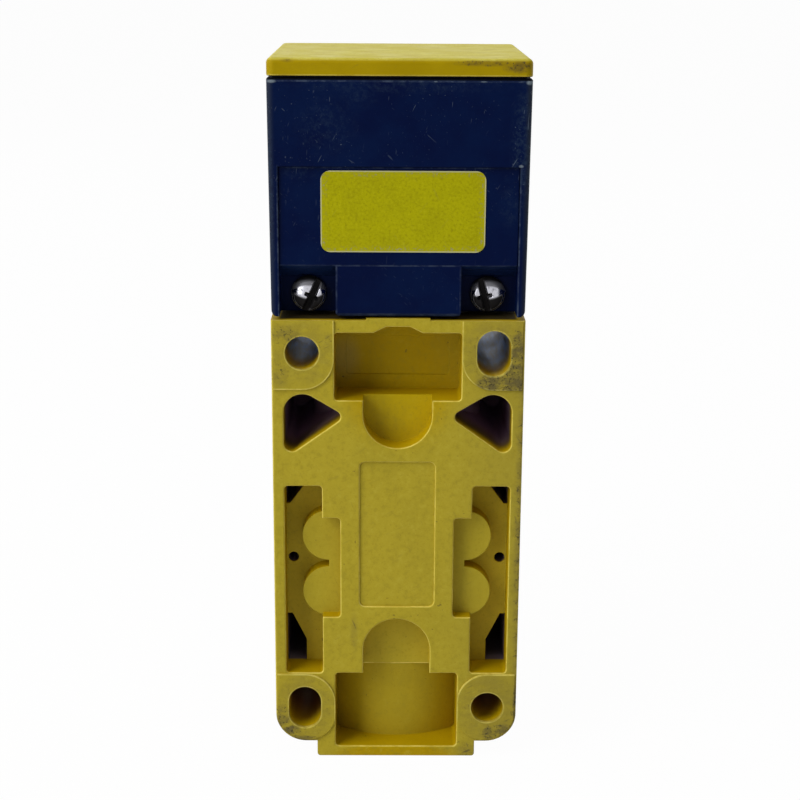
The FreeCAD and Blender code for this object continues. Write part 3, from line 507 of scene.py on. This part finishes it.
# %% Yellow plastic on the base
# A blot is a middle and reaches in mm, the share of the way out up to which it is full, and its strength.
base_tones = (0.440, 0.292, 0.0008), (0.475, 0.320, 0.0014)
base_smear = (0.105, 0.086, 0.042)
base_blots = [
    ((-15, -20, 68.8), (6.5, 1.2, 6.5), 0.6, 0.28),
    ((15, -20, 68.8), (6.5, 1.2, 6.5), 0.6, 0.32),
    ((-15, -20, 8.8), (6.5, 1.2, 7.5), 0.6, 0.32),
    ((15, -20, 8.8), (6.5, 1.2, 7.5), 0.6, 0.28),
    ((19.7, -19.8, 38), (1.3, 2, 42), 0.2, 0.6),
    ((17.0, -20, 63.9), (5.6, 0.32, 2.6), 0.7),
    ((18.9, -20, 67.5), (2.2, 0.32, 7.5), 0.4),
    ((-17.3, -20, 4.3), (2.4, 0.32, 1.9), 0.4),
    ((-18.7, -20, 6.8), (1.9, 2, 4.0), 0.3, 0.8),
    ((-15.2, -20, 3.1), (3.4, 2, 1.1), 0.3, 0.8),
    ((15.5, -20, 4.1), (1.7, 0.32, 2.0), 0.4),
    ((17.6, -20, 4.7), (2.8, 0.32, 1.9), 0.3, 0.9),
    ((19.7, -20, 9.5), (0.8, 2, 5.5), 0.3, 0.9),
    ((11.6, -20, 0.8), (2.4, 2, 2.2), 0.3, 0.45),
    ((-17.4, -20, 71.6), (4.4, 2, 2.6), 0.2, 0.6),
    ((-18.4, -20, 65.6), (2.4, 2, 3.6), 0.2, 0.5),
    ((-10.9, -20, 71.0), (1.0, 2, 1.6), 0.2, 0.6),
    ((19.8, -19.7, 27.6), (0.9, 2, 1.4)),
    ((-6.9, -19.7, 21.6), (0.9, 1, 5.0), 0.2, 0.3),
]
finishes = {}
finishes["base_housing"] = yellow_plastic("yellow_base_plastic", base_tones, base_smear, base_blots,
                                          layers_on_base, pale_edges_on_base, shade_and_sheen_on_base, sheen_in_bores)

# %% Yellow plastic on the cap
cap_tones = (0.370, 0.256, 0.0004), (0.405, 0.284, 0.0008)
cap_smear = (0.135, 0.090, 0.016)
cap_blots = [
    ((13.0, -20, 113.3), (7.0, 2, 0.6), 0.3, 0.8),
    ((17.8, -20, 112.8), (3.0, 2, 1.2), 0.3),
    ((-16.8, -20, 113.6), (1.4, 2, 0.4), 0.2, 0.5),
]
finishes["active_face_cap"] = yellow_plastic("yellow_cap_plastic", cap_tones, cap_smear, cap_blots,
                                             layers_on_cap, rubbed_on_cap, shade_on_cap)

# %% [markdown]
# ## Dark blue plastic
# The head and its panel are a satin navy. On so dark a colour every dust speck, rub mark and hair-fine
# scratch shows pale, most of all along the upper and right edges. The pale edges, rubbed and partly a painted
# highlight, are bands in millimetres again, and a few chips are blots. What faces down is painted paler, as
# bounced light, and the top of the head under the cap is painted dark, as shade.

# %% Pale edges and painted shade of the head and of its panel
def pale_edges_on_head(tree, place):
    """Upper edge of the head, rubbed, and the two upright edges beside its panel, a painted highlight."""
    x, y, z = split(tree, place)
    upright = band(tree, unsigned(tree, x), 18.3, 18.6)
    upright = both(tree, upright, ease_mm(tree, y, -19.2, -19.4), ease_mm(tree, z, 98.2, 97.8))
    return either(tree, band(tree, z, 110.5, 110.72), upright)


def shade_on_head(tree, place):
    """Painted shade on the upper face and upper edge of the head, under the cap."""
    return ease_mm(tree, split(tree, place)["Z"], 110.74, 110.8)


def pale_edges_on_panel(tree, place):
    """Painted highlights on the upper edge of the panel, the line above the tool pockets, both sides of the
    tab and its bevelled foot.
    """
    x, y, z = split(tree, place)
    across = unsigned(tree, x)
    low = ease_mm(tree, z, 82.7, 82.5)
    sides = both(tree, band(tree, across, 9.45, 9.7), low, ease_mm(tree, y, -19.0, -19.3))
    lines = either(tree, band(tree, z, 82.5, 82.68), band(tree, z, 97.55, 97.75))
    foot = both(tree, ease_mm(tree, z, 75.2, 75.0), ease_mm(tree, across, 9.8, 9.6))
    return both(tree, either(tree, lines, sides, foot), 0.6)


# %% Navy plastic
navy_tones = (0.0004, 0.0040, 0.034), (0.0010, 0.0072, 0.043)
lit_underside = (0.009, 0.021, 0.062)
worn_corner = (0.034, 0.043, 0.050)
# Pale edge colour: rubbed on the head's upper edge, a painted highlight on the uprights and the panel.
pale_edge_navy = (0.075, 0.100, 0.150)
navy_haze = (0.026, 0.047, 0.085)
pale_dust = (0.135, 0.175, 0.235)
bare_chip = (0.230, 0.280, 0.315)
painted_shade_navy = (0.0008, 0.0015, 0.004)


def navy_plastic(name, blots, pale_edges_of, painted_light_of=None, chips=None):
    """Cloudy navy under these, each over the last: a paler tone painted on what faces down as bounced light,
    worn upright corners, pale edges, rubbed and partly a painted highlight, haze where the blots say, dust
    and scratches in clusters, chips, and painted shade."""
    material, tree, shader, place = start_finish(name)
    x, y, z = split(tree, place)
    grain = noise(tree, place, 3200, 2.0)
    clouds = noise(tree, place, 120, 4.0, rough=0.6)
    colour = blend(tree, ease(tree, clouds, 0.35, 0.68), *navy_tones)
    # Painted light: what faces down is paler, as if lit by light bounced from below.
    colour = blend(tree, ease(tree, facing(tree)["Z"], -0.15, -0.45, 0, 0.45), colour, lit_underside)
    corners = both(tree, ease_mm(tree, unsigned(tree, x), 18.7, 19.9, 0, 0.55),
                   ease_mm(tree, unsigned(tree, y), 17.5, 19.5))
    colour = blend(tree, corners, colour, worn_corner)
    broken = ease(tree, noise(tree, place, 420, 5.0, rough=0.7), 0.44, 0.62, 0.10, 0.60)
    colour = blend(tree, both(tree, pale_edges_of(tree, place), broken), colour, pale_edge_navy)
    worn = spots(tree, place, blots)
    haze = both(tree, worn, ease(tree, noise(tree, place, 1000, 8.0, rough=0.8), 0.44, 0.66, 0, 0.6))
    colour = blend(tree, haze, colour, navy_haze)
    cluster = ease(tree, noise(tree, place, 90, 2.0), 0.40, 0.64, 0.06, 0.9)
    cluster = both(tree, cluster, ease_mm(tree, z, 84, 104, 0.25, 1))
    cluster = either(tree, cluster, ease(tree, worn, 0.1, 0.7))
    dust = either(tree, ease(tree, noise(tree, place, 3000, 2.0, rough=0.55), 0.685, 0.75),
                  ease(tree, noise(tree, place, 1700, 3.0, rough=0.6), 0.695, 0.755))
    lines = either(tree, scratches(tree, place, 2700, 4, 0.73, 0.79),
                   scratches(tree, place, 2900, 28, 0.74, 0.80),
                   scratches(tree, place, 3300, -50, 0.74, 0.80))
    marks = both(tree, either(tree, dust, both(tree, lines, 0.9)), cluster)
    colour = blend(tree, both(tree, marks, 0.5), colour, pale_dust)
    if chips:
        colour = blend(tree, spots(tree, place, chips), colour, bare_chip)
    # Painted shade under the cap.
    if painted_light_of:
        colour = blend(tree, painted_light_of(tree, place), colour, painted_shade_navy)
    shader.inputs["Specular IOR Level"].default_value = 0.04
    return end_finish(material, tree, shader, colour, ease(tree, clouds, 0.35, 0.68, 0.36, 0.5),
                      soft_edges(tree, 0.3, grain, 0.12, 0.03))


# %% Navy plastic on the head and its panel
head_blots = [
    ((0, -20, 110.2), (22, 2, 2.0), 0.2, 0.6),
    ((19.0, -20, 101), (2.6, 3, 12), 0.4),
    ((-11, -20, 104), (6, 2, 6), 0.2, 0.45),
    ((-6, -20, 109), (4, 2, 3), 0.2, 0.5),
    ((-19.6, -20, 92), (0.8, 3, 16)),
]
panel_blots = [
    ((17.2, -19.5, 92), (2.4, 2, 6), 0.2, 0.35),
    ((-15, -19.5, 97), (4, 2, 1.5), 0.2, 0.5),
]
head_chips = [
    ((-19.2, -19.9, 110.55), (0.9, 1.2, 0.35), 0.3, 0.7),
    ((19.5, -19.8, 110.5), (0.7, 1.4, 0.45), 0.3, 0.8),
    ((12.6, -20, 110.6), (0.7, 1.0, 0.14), 0.3, 0.4),
    ((5.4, -20, 110.6), (0.4, 1.0, 0.14), 0.3, 0.4),
    ((18.5, -19.9, 98.0), (0.5, 1.0, 0.3), 0.3, 0.6),
]
finishes["head_housing"] = navy_plastic("navy_head_plastic", head_blots, pale_edges_on_head, shade_on_head,
                                        head_chips)
finishes["rear_panel"] = navy_plastic("navy_panel_plastic", panel_blots, pale_edges_on_panel)

# %% [markdown]
# ## Bare sticker
# The sticker on the panel is a thin yellow film with a pale cut edge, a fine mottle and a few creases. The
# distance to that edge is the smaller of the distances to its four sides, which subtractions give from the
# Object coordinates, so no picture has to be wrapped onto the film.

# %% Sticker film
film_tones = (0.430, 0.402, 0.0006), (0.382, 0.356, 0.0008)
film_dark, film_pale = (0.270, 0.250, 0.002), (0.520, 0.490, 0.012)
film_chip, film_crease = (0.36, 0.34, 0.20), (0.53, 0.50, 0.09)
film_scratch, film_rim = (0.30, 0.27, 0.03), (0.58, 0.57, 0.34)


def sticker_film(name, node):
    """Cloudy yellow with dark and pale mottle, chips near the edge, long creases, scratches and a pale
    rim."""
    material, tree, shader, place = start_finish(name)
    low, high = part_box(node)
    middle, half = (low + high) / 2, (high - low) / 2
    x, _, z = split(tree, place)
    aside = minus(tree, half.x, unsigned(tree, minus(tree, x, middle.x)))
    above = minus(tree, half.z, unsigned(tree, minus(tree, z, middle.z)))
    to_edge = maths(tree, "MINIMUM", aside, above)
    clouds = noise(tree, place, 300, 4.0, rough=0.6)
    fine = noise(tree, place, 2400, 5.0, rough=0.7)
    colour = blend(tree, ease(tree, clouds, 0.35, 0.7), *film_tones)
    colour = blend(tree, ease(tree, fine, 0.49, 0.68, 0, 0.75), colour, film_dark)
    colour = blend(tree, ease(tree, fine, 0.49, 0.33, 0, 0.45), colour, film_pale)
    chips = both(tree, ease_mm(tree, to_edge, 1.3, 0.2), ease(tree, fine, 0.52, 0.62),
                 ease(tree, clouds, 0.42, 0.58))
    colour = blend(tree, both(tree, chips, 0.8), colour, film_chip)
    creases = ease(tree, noise(tree, place, 330, 2.0, (1, 1, 14), 0.5, 5), 0.66, 0.72)
    colour = blend(tree, both(tree, creases, 0.45), colour, film_crease)
    lines = either(tree, scratches(tree, place, 2400, 38), scratches(tree, place, 2100, -30))
    colour = blend(tree, both(tree, lines, 0.3), colour, film_scratch)
    colour = blend(tree, both(tree, ease_mm(tree, to_edge, 0.22, 0.12), 0.75), colour, film_rim)
    shader.inputs["Specular IOR Level"].default_value = 0.07
    return end_finish(material, tree, shader, colour, ease(tree, clouds, 0.3, 0.7, 0.3, 0.45),
                      relief(tree, clouds, 0.15, 0.03))


finishes["blank_label"] = sticker_film("yellow_sticker_film", "blank_label")

# %% [markdown]
# ## Metals, rubber and what is inside
# Plated screws, brass strips, drawn cans and copper wire differ in colour, gloss and the direction of their
# marks; resin, rubber, ferrite and the board differ in grain. One recipe with a few numbers covers them
# all, which is shorter than a graph for each and keeps them alike.

# %% Inner finishes
def mottled(name, colour_a, colour_b, scale, roughness, metal=0.0, strength=0.1, stretch=None):
    """Two close colours in clouds of one size, a roughness that follows them and a fine relief."""
    material, tree, shader, place = start_finish(name)
    clouds = noise(tree, place, scale, 4.0, stretch, 0.6)
    colour = blend(tree, ease(tree, clouds, 0.35, 0.65), colour_a, colour_b)
    shader.inputs["Metallic"].default_value = metal
    return end_finish(material, tree, shader, colour,
                      ease(tree, clouds, 0.3, 0.7, roughness * 0.8, roughness * 1.2),
                      soft_edges(tree, 0.1, clouds, strength, 0.03))


nickel = mottled("bright_nickel", (0.62, 0.59, 0.53), (0.50, 0.47, 0.43), 900, 0.2, 1.0, 0.05)
black_case = mottled("black_component_case", (0.022, 0.022, 0.023), (0.034, 0.033, 0.032), 2200, 0.5)
copper = mottled("enamelled_copper", (0.52, 0.19, 0.07), (0.40, 0.13, 0.05), 2500, 0.3, 1.0, 0.3, (3, 3, 1))
plated_nodes = "terminal_screws", "terminal_fixing_screw", "clamp_screws"
black_nodes = "oscillator_chip", "output_transistor", "board_resistors", "protection_diode", "terminal_block"
copper_nodes = "coil_winding", "coil_wires"
for group, finish in ((plated_nodes, nickel), (black_nodes, black_case), (copper_nodes, copper)):
    finishes.update(dict.fromkeys(group, finish))

single_recipes = {
    "swivel_seal": ("seal_rubber", (0.012, 0.012, 0.012), (0.022, 0.021, 0.020), 1800, 0.7),
    "terminal_strips": ("stamped_brass", (0.70, 0.49, 0.18), (0.58, 0.39, 0.13), 1200, 0.3, 1.0),
    "ferrite_core": ("sintered_ferrite", (0.045, 0.046, 0.050), (0.075, 0.075, 0.080), 3000, 0.45),
    "coil_bobbin": ("bobbin_plastic", (0.68, 0.65, 0.56), (0.60, 0.57, 0.48), 900, 0.5),
    "potting_resin": ("cast_resin", (0.020, 0.020, 0.022), (0.036, 0.035, 0.036), 300, 0.25),
    "board_capacitors": ("drawn_can", (0.72, 0.72, 0.74), (0.60, 0.60, 0.62), 900, 0.3, 1.0, 0.1, (1, 1, 10)),
    "status_lights": ("lamp_resin", (0.62, 0.30, 0.03), (0.52, 0.24, 0.02), 700, 0.2),
    "circuit_board": ("board_lacquer", (0.020, 0.150, 0.050), (0.030, 0.190, 0.065), 500, 0.3),
}
finishes.update({node: mottled(*recipe) for node, recipe in single_recipes.items()})

# %% [markdown]
# ## Lenses of the two lights
# On the front of the head two small lenses cover the lights. They could be made of clear glass over a lamp,
# but switched-off lenses of this size look like tinted plastic with paler facets, which costs no slow light
# paths.

# %% Lenses
lens_green, lens_amber, lens_facet = (0.045, 0.200, 0.060), (0.560, 0.260, 0.020), (0.50, 0.48, 0.36)


def lamp_lens(name):
    """Green on the side of negative x for the supply, amber on the other for the output, with fine paler
    cells."""
    material, tree, shader, place = start_finish(name)
    cells = noise(tree, place, 2200, 2.0)
    right_hand = maths(tree, "GREATER_THAN", split(tree, place)["X"], 0.0)
    colour = blend(tree, right_hand, lens_green, lens_amber)
    colour = blend(tree, ease(tree, cells, 0.45, 0.7, 0, 0.25), colour, lens_facet)
    return end_finish(material, tree, shader, colour, ease(tree, cells, 0.3, 0.7, 0.12, 0.25))


finishes["light_lenses"] = lamp_lens("tinted_lens")

# %% [markdown]
# ## Four leads, four colours
# The leads are one solid group, so their colours come from where a point lies. They start 4 mm apart at the
# terminals and gather to 1.4 mm, so the place across is divided by the spacing at that height, and the
# quotient picks brown, white, blue or black. Four materials would need four solids.

# %% Lead insulation
lead_brown, lead_white = (0.10, 0.035, 0.015), (0.62, 0.60, 0.56)
lead_blue, lead_black = (0.02, 0.07, 0.30), (0.012, 0.012, 0.012)


def lead_insulation(name):
    """Brown, white, blue and black from left to right: the colour changes at -1, 0 and 1 times the
    spacing."""
    material, tree, shader, place = start_finish(name)
    x, _, z = split(tree, place)
    spacing = both(tree, ease_mm(tree, z, 60, 74, 4.0, 1.4), mm)
    lead = maths(tree, "DIVIDE", x, spacing)
    colour = blend(tree, maths(tree, "GREATER_THAN", lead, -1.0), lead_brown, lead_white)
    colour = blend(tree, maths(tree, "GREATER_THAN", lead, 0.0), colour, lead_blue)
    colour = blend(tree, maths(tree, "GREATER_THAN", lead, 1.0), colour, lead_black)
    fine = noise(tree, place, 1500, 3.0)
    return end_finish(material, tree, shader, colour, ease(tree, fine, 0.3, 0.7, 0.3, 0.45))


finishes["connection_leads"] = lead_insulation("lead_insulation")
for name, node in nodes.items():
    node.data.materials.clear()
    node.data.materials.append(finishes[name])
print("nodes without a finish:", sorted(set(nodes) - set(finishes)) or "none")

# %% [markdown]
# ## Putting arrays into meshes
# Every new piece in this file is a surface over a grid: numpy works out all points at once, and the faces
# follow from the grid's rows and columns. A grid can close on itself along its rows, as a tube does. The
# volume that is printed for each piece has a sign: it is positive when the faces point outwards.

# %% Mesh helpers
def grid_faces(rows, columns, close_columns=False, flipped=False):
    """Quads of a grid of points counted row by row: each joins a point, the next in its row and the row
    after. It faces along the cross product of the way along a row and the way to the next row, or against
    it if flipped."""
    r = np.arange(rows - 1)
    c = np.arange(columns if close_columns else columns - 1)
    r, c = (a.ravel() for a in np.meshgrid(r, c, indexing="ij"))
    c_next = (c + 1) % columns
    near, far = r * columns, (r + 1) * columns
    quads = np.column_stack([near + c, near + c_next, far + c_next, far + c])
    return quads[:, ::-1] if flipped else quads


def make_piece(name, points, faces, body, marks=None):
    """One smooth mesh object at the origin from points in metres, riding on a body. Marks are one number per
    point, kept as an attribute of that name for a finish to read."""
    mesh = bpy.data.meshes.new(name)
    mesh.from_pydata(points.tolist(), [], faces)
    mesh.validate()
    mesh.polygons.foreach_set("use_smooth", np.full(len(mesh.polygons), True))
    for mark, values in (marks or {}).items():
        mesh.attributes.new(mark, "FLOAT", "POINT").data.foreach_set("value", values.astype(np.float32))
    piece = bpy.data.objects.new(name, mesh)
    scene.collection.objects.link(piece)
    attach(piece, body)
    solid = bmesh.new()
    solid.from_mesh(mesh)
    print(name, "points", len(points), "volume in mm3", round(solid.calc_volume(signed=True) / mm ** 3, 1))
    solid.free()
    return piece


# %% [markdown]
# ## Thread of the cable entry
# The underside has a threaded hole for a cable gland. CAD keeps it as a smooth bore at the root of the
# thread. The ridge is a trapezoid profile carried along a helix, which is one grid: the way along the helix
# and the way round the profile. A Screw modifier would make it too, but not the ends: here the height fades
# to almost nothing at both of them, as a cutting tool runs in and out.

# %% Cable entry thread
root_radius, crest_radius, thread_pitch = 10.2, 9.62, 1.41
thread_low, thread_high = 1.0, 13.2


def helix_ridge(root, crest, pitch, low, high, per_turn=96, sink=0.06):
    """Points: angle t runs along the helix, z rises by one pitch a turn, and the profile steps from the
    wall to the crest and back, its depth multiplied by a ramp that rises over the first half turn and falls
    over the last."""
    turns = (high - low) / pitch
    t = np.linspace(0, turns * 2 * np.pi, int(turns * per_turn))
    ramp = np.clip(np.minimum(t, t[-1] - t) / np.pi, 0.02, 1)
    depth = np.array([-sink, 0.55, 1.0, 1.0, 0.55, -sink])
    lift = np.array([-0.44, -0.22, -0.06, 0.06, 0.22, 0.44]) * pitch
    radius = root - (root - crest) * np.where(depth > 0, depth * ramp[:, None], depth)
    z = low + pitch * t[:, None] / (2 * np.pi) + lift
    points = np.stack([radius * np.cos(t)[:, None], radius * np.sin(t)[:, None], z], axis=-1)
    return points.reshape(-1, 3) * mm, len(t), len(depth)


points, along, around = helix_ridge(root_radius, crest_radius, thread_pitch, thread_low, thread_high)
faces = grid_faces(along, around, close_columns=True).tolist()
faces += [list(range(around))[::-1], list(range((along - 1) * around, along * around))]
thread = make_piece("cable_entry_thread", points, faces, "base")
thread.data.materials.append(finishes["base_housing"])

# %% [markdown]
# ## Pan-head screws
# The two screws that hold the head have a domed head with a wide slot and a short cross arm. The top is a
# square grid bent onto a disc, so its lines run along the slot, and the slot is cut by lowering points with
# a soft step. A boolean cut would need clean-up and would leave hard edges. The rest is the disc's outer
# ring carried down the rim, under the head and along the threaded shank. Dirt lies in the slot. Painted dark
# reflections lie at the top of the head and below its middle, with a painted highlight just inside the lower
# rim; both are kept as one number per point, which the finish reads.

# %% Sizes of the screws
# In millimetres, apart from tilts in degrees. What lies in the plane of the head is in radii of the head:
# the shift of its top, the rounding of its rim, and all half widths, reaches and soft edges.
crown_height, crown_drop, crown_shift = 2.3, 0.70, 0.2
rim_height, rim_round, under_bevel = 0.55, 0.30, 0.12
slot_sink, slot_half_width, slot_soft = 1.5, 0.18, 0.12
arm_half_width, arm_soft, arm_reach, arm_fade = 0.09, 0.08, 0.36, 0.2
shank_radius, shank_core, shank_length, shank_pitch = 1.5, 1.2, 21.5, 0.5
slot_tilts = {-1: 24.0, 1: 14.0}
screws_low, screws_high = (np.array(corner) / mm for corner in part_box("clamp_screws"))
head_radius = (screws_high[2] - screws_low[2]) / 2
screw_x, screw_z = screws_high[0] - head_radius, screws_high[2] - head_radius
seat_y = screws_high[1] - shank_length
print("screws in mm: head radius", round(head_radius, 2), "aside", round(screw_x, 2), "up", round(screw_z, 2))


# %% Crown of a screw
def disc_grid(count):
    """Square grid from -1 to 1 bent onto the unit disc: each side is multiplied by the root of one less
    half the square of the other."""
    u, v = np.meshgrid(np.linspace(-1, 1, count), np.linspace(-1, 1, count), indexing="ij")
    return u * np.sqrt(1 - v * v / 2), v * np.sqrt(1 - u * u / 2)


def soft_step(value, width):
    """0 to 1 over a width centred on 0, along an S-curve: three squares less two cubes."""
    s = np.clip(value / width + 0.5, 0, 1)
    return s * s * (3 - 2 * s)


def screw_crown(shift, count=81):
    """Height over the seat: a flat dome that falls with the square of the distance from its top, which lies
    a little aside, and curls over at the rim, less the slot through the top, which crosses the whole head,
    and the arm, which fades out. Also gives how deep a point lies in the slot, from 0 to 1."""
    x, y = disc_grid(count)
    r = np.sqrt(x * x + y * y)
    curl = np.clip((r - 1 + rim_round) / rim_round, 0, 1)
    away = x - shift
    dome = crown_height - crown_drop * (away * away + y * y)
    dome = dome + (np.minimum(dome, rim_height) - dome) * (1 - np.sqrt(1 - curl * curl))
    slot = soft_step(slot_half_width - np.abs(away), slot_soft)
    arm = soft_step(arm_half_width - np.abs(y), arm_soft) * soft_step(arm_reach - np.abs(away), arm_fade)
    sunk = np.maximum(slot, arm)
    height = dome + (np.minimum(dome, crown_height - slot_sink) - dome) * sunk
    return np.stack([x * head_radius, y * head_radius, height], axis=-1), sunk


# %% Rim and threaded shank of a screw
def shank_rings(angle):
    """Rings of points at the given angles, from the edge of the head down to the tip: two round the rim,
    one at the shank, 200 whose radius follows a triangle wave that climbs one pitch a turn, and two at the
    tip."""
    edge = np.array([[head_radius, under_bevel], [head_radius - under_bevel, 0.0], [shank_radius, 0.0]])
    along = np.linspace(-0.2, -shank_length + 0.8, 200)
    wave = np.abs(((along[:, None] / shank_pitch + angle / (2 * np.pi)) % 1) * 2 - 1)
    ridges = shank_radius - (shank_radius - shank_core) * wave
    tip = np.array([[shank_core, -shank_length + 0.5], [0.4, -shank_length]])
    radius = np.concatenate([np.tile(edge[:, :1], len(angle)), ridges, np.tile(tip[:, :1], len(angle))])
    height = np.concatenate([edge[:, 1], along, tip[:, 1]])
    height = np.tile(height[:, None], len(angle))
    return np.stack([radius * np.cos(angle), radius * np.sin(angle), height], axis=-1)


def screw_shape(shift):
    """Crown, rim and shank as one closed surface along +Z: the crown's border is the first ring of the
    shank's grid. Gives points in millimetres, faces, and how deep each point lies in the slot."""
    crown, sunk = screw_crown(shift)
    n = len(crown)
    index = np.arange(n * n).reshape(n, n)
    border = np.concatenate([index[0, :-1], index[:-1, -1], index[-1, :0:-1], index[:0:-1, 0]])
    ring = crown.reshape(-1, 3)[border]
    rings = shank_rings(np.arctan2(ring[:, 1], ring[:, 0]))
    points = np.concatenate([crown.reshape(-1, 3), rings.reshape(-1, 3)])
    rows = n * n + np.arange(rings.shape[0] * len(border)).reshape(-1, len(border))
    rows = np.concatenate([border[None], rows])
    after = np.roll(rows, -1, axis=1)
    side = np.stack([rows[:-1], after[:-1], after[1:], rows[1:]], axis=-1).reshape(-1, 4)
    top = grid_faces(n, n, flipped=True)
    dirt_and_reflection = np.concatenate([sunk.ravel(), np.zeros(rings.shape[0] * len(border))])
    return points, top.tolist() + side.tolist() + [rows[-1].tolist()], dirt_and_reflection


# %% Dirt, painted reflections and plating of the screws
clean_plating, screw_dirt_and_reflection = (0.52, 0.52, 0.57), (0.016, 0.015, 0.016)


def painted_reflections(aside, lift):
    """Share of painted dark reflection by the place on the head, counted from its middle in radii: thin in
    the upper half, black at the top and below the middle, with bowed limits, and less on a line just inside
    the lower rim, a painted highlight."""
    from_rim = np.hypot(aside, lift) - 0.88
    bow = 0.35 * aside * aside
    low = soft_step(bow - lift - 0.16, 0.3) * (1 - 0.8 * np.exp(-((from_rim / 0.06) ** 2)))
    return np.maximum(soft_step(lift + bow - 0.50, 0.2) * 0.6 + soft_step(lift + bow - 0.85, 0.2) * 0.4, low)


def slotted_nickel(name):
    """Bright plating with dark specks, dirt in the slot, and painted dark reflections where the attribute
    says.
    """
    material, tree, shader, place = start_finish(name)
    # The attribute holds the dirt in the slot and the painted reflections.
    depth = tree.nodes.new("ShaderNodeAttribute")
    depth.attribute_name = "dirt_and_reflection"
    specks = ease(tree, noise(tree, place, 2400, 4.0, rough=0.65), 0.54, 0.68, 0, 0.6)
    dark_share = either(tree, ease(tree, depth.outputs["Fac"], 0.1, 0.95), specks)
    tree.links.new(ease(tree, dark_share, 0, 1, 1, 0.1), shader.inputs["Metallic"])
    shader.inputs["Specular IOR Level"].default_value = 0.05
    return end_finish(material, tree, shader, blend(tree, dark_share, clean_plating, screw_dirt_and_reflection),
                      ease(tree, dark_share, 0, 1, 0.18, 0.6))


# %% The two screws in their places
def place_screw(points, x, y, z, tilt):
    """Turns the head to face -Y, tilts its slot about that axis and moves the seat to (x, y, z)."""
    c, s = math.cos(tilt), math.sin(tilt)
    px, py, pz = points.T
    return np.column_stack([x + c * px - s * py, y - pz, z + s * px + c * py]) * mm


screw_finish = slotted_nickel("slotted_nickel")
for name, side in (("clamp_screw_left", -1), ("clamp_screw_right", 1)):
    points, faces, dirt_and_reflection = screw_shape(-side * crown_shift)
    points = place_screw(points, side * screw_x, seat_y, screw_z, math.radians(side * slot_tilts[side]))
    aside, _, lift = ((points / mm - [side * screw_x, 0, screw_z]) / head_radius).T
    # Painted dark reflections and a painted rim highlight join the dirt in the slot.
    dirt_and_reflection = np.maximum(dirt_and_reflection, painted_reflections(aside, lift))
    screw = make_piece(name, points, faces, "head", marks={"dirt_and_reflection": dirt_and_reflection})
    screw.data.materials.append(screw_finish)
    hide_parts("clamp_screws")

# %% [markdown]
# ## Floor
# The photograph has a white ground. More light would make a pale floor white, but would bleach the part as
# well. So for what the camera sees, directly or in a reflection, most of the floor's colour is plain white,
# while the rest still takes the shadow.

# %% Floor
floor_white_share, floor_half = 0.975, 6


def white_where_seen(tree):
    """1 for rays from the camera, from a mirror or through glass, 0 for the rays that carry light."""
    path = tree.nodes.new("ShaderNodeLightPath")
    seen = maths(tree, "ADD", path.outputs["Is Camera Ray"], path.outputs["Is Glossy Ray"])
    return maths(tree, "MINIMUM", maths(tree, "ADD", seen, path.outputs["Is Transmission Ray"]), 1.0)


floor_material = bpy.data.materials.new("pale_floor")
floor_material.use_nodes = True
tree = floor_material.node_tree
tree.nodes.remove(tree.nodes["Principled BSDF"])
matt = tree.nodes.new("ShaderNodeBsdfDiffuse")
matt.inputs["Color"].default_value = (0.86, 0.86, 0.86, 1)
glow = tree.nodes.new("ShaderNodeEmission")
ground = tree.nodes.new("ShaderNodeMixShader")
feed(tree, ground.inputs[0], both(tree, white_where_seen(tree), floor_white_share))
tree.links.new(matt.outputs[0], ground.inputs[1])
tree.links.new(glow.outputs[0], ground.inputs[2])
tree.links.new(ground.outputs[0], tree.nodes["Material Output"].inputs[0])
floor_mesh = bpy.data.meshes.new("floor")
floor_corners = [(x * floor_half, y * floor_half, 0) for x, y in ((-1, -1), (1, -1), (1, 1), (-1, 1))]
floor_mesh.from_pydata(floor_corners, [], [(0, 1, 2, 3)])
floor = bpy.data.objects.new("floor", floor_mesh)
floor_mesh.materials.append(floor_material)
scene.collection.objects.link(floor)
floor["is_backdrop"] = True
print("floor at", floor.location.z)

# %% [markdown]
# ## Light
# The pockets of the part are lit softly from above and from the left, as in a light tent. One large lamp
# could do that, but three softboxes let each side have its own strength. Two more stand behind, so that the
# front has light as well, and a dim sky fills the shadows. The sky is white where it is seen.

# %% Light
sky_fill, sky_seen = 0.15, 1.0
lamp_target = np.array([0, 0, 0.06])
lamps = {
    "top_softbox": ((0.0, -0.15, 0.85), 0.55, 1.75),
    "upper_left_softbox": ((-0.50, -0.35, 0.60), 0.45, 3.0),
    "left_softbox": ((-0.65, -0.50, 0.28), 0.60, 2.2),
    "back_right_softbox": ((0.70, 0.50, 0.20), 0.50, 1.8),
    "back_left_softbox": ((-0.60, 0.65, 0.30), 0.50, 1.5),
}
world = bpy.data.worlds.new("studio")
world.use_nodes = True
scene.world = world
tree = world.node_tree
sky = tree.nodes["Background"]
sky.inputs["Color"].default_value = (1, 1, 1, 1)
feed(tree, sky.inputs["Strength"], ease(tree, white_where_seen(tree), 0, 1, sky_fill, sky_seen))
for name, (place, size, watts) in lamps.items():
    data = bpy.data.lights.new(name, "AREA")
    data.shape, data.size, data.energy = "SQUARE", size, watts
    lamp = bpy.data.objects.new(name, data)
    lamp.location = place
    lamp.rotation_mode = "QUATERNION"
    lamp.rotation_quaternion = Vector((lamp_target - np.array(place)).tolist()).to_track_quat("-Z", "Y")
    scene.collection.objects.link(lamp)
print("lamps:", list(lamps))

# %% [markdown]
# ## Size
# How far all that is seen now reaches beyond the box of the solids is printed, so that it shows if an added
# piece stands out.

# %% Size
scene.view_settings.view_transform = "Standard"
low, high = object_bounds()
beyond = [max(a - b, d - c, 0.0) for a, b, c, d in zip(cad_low, low, cad_high, high)]
print("beyond the solids in mm:", [round(length / mm, 3) for length in beyond])
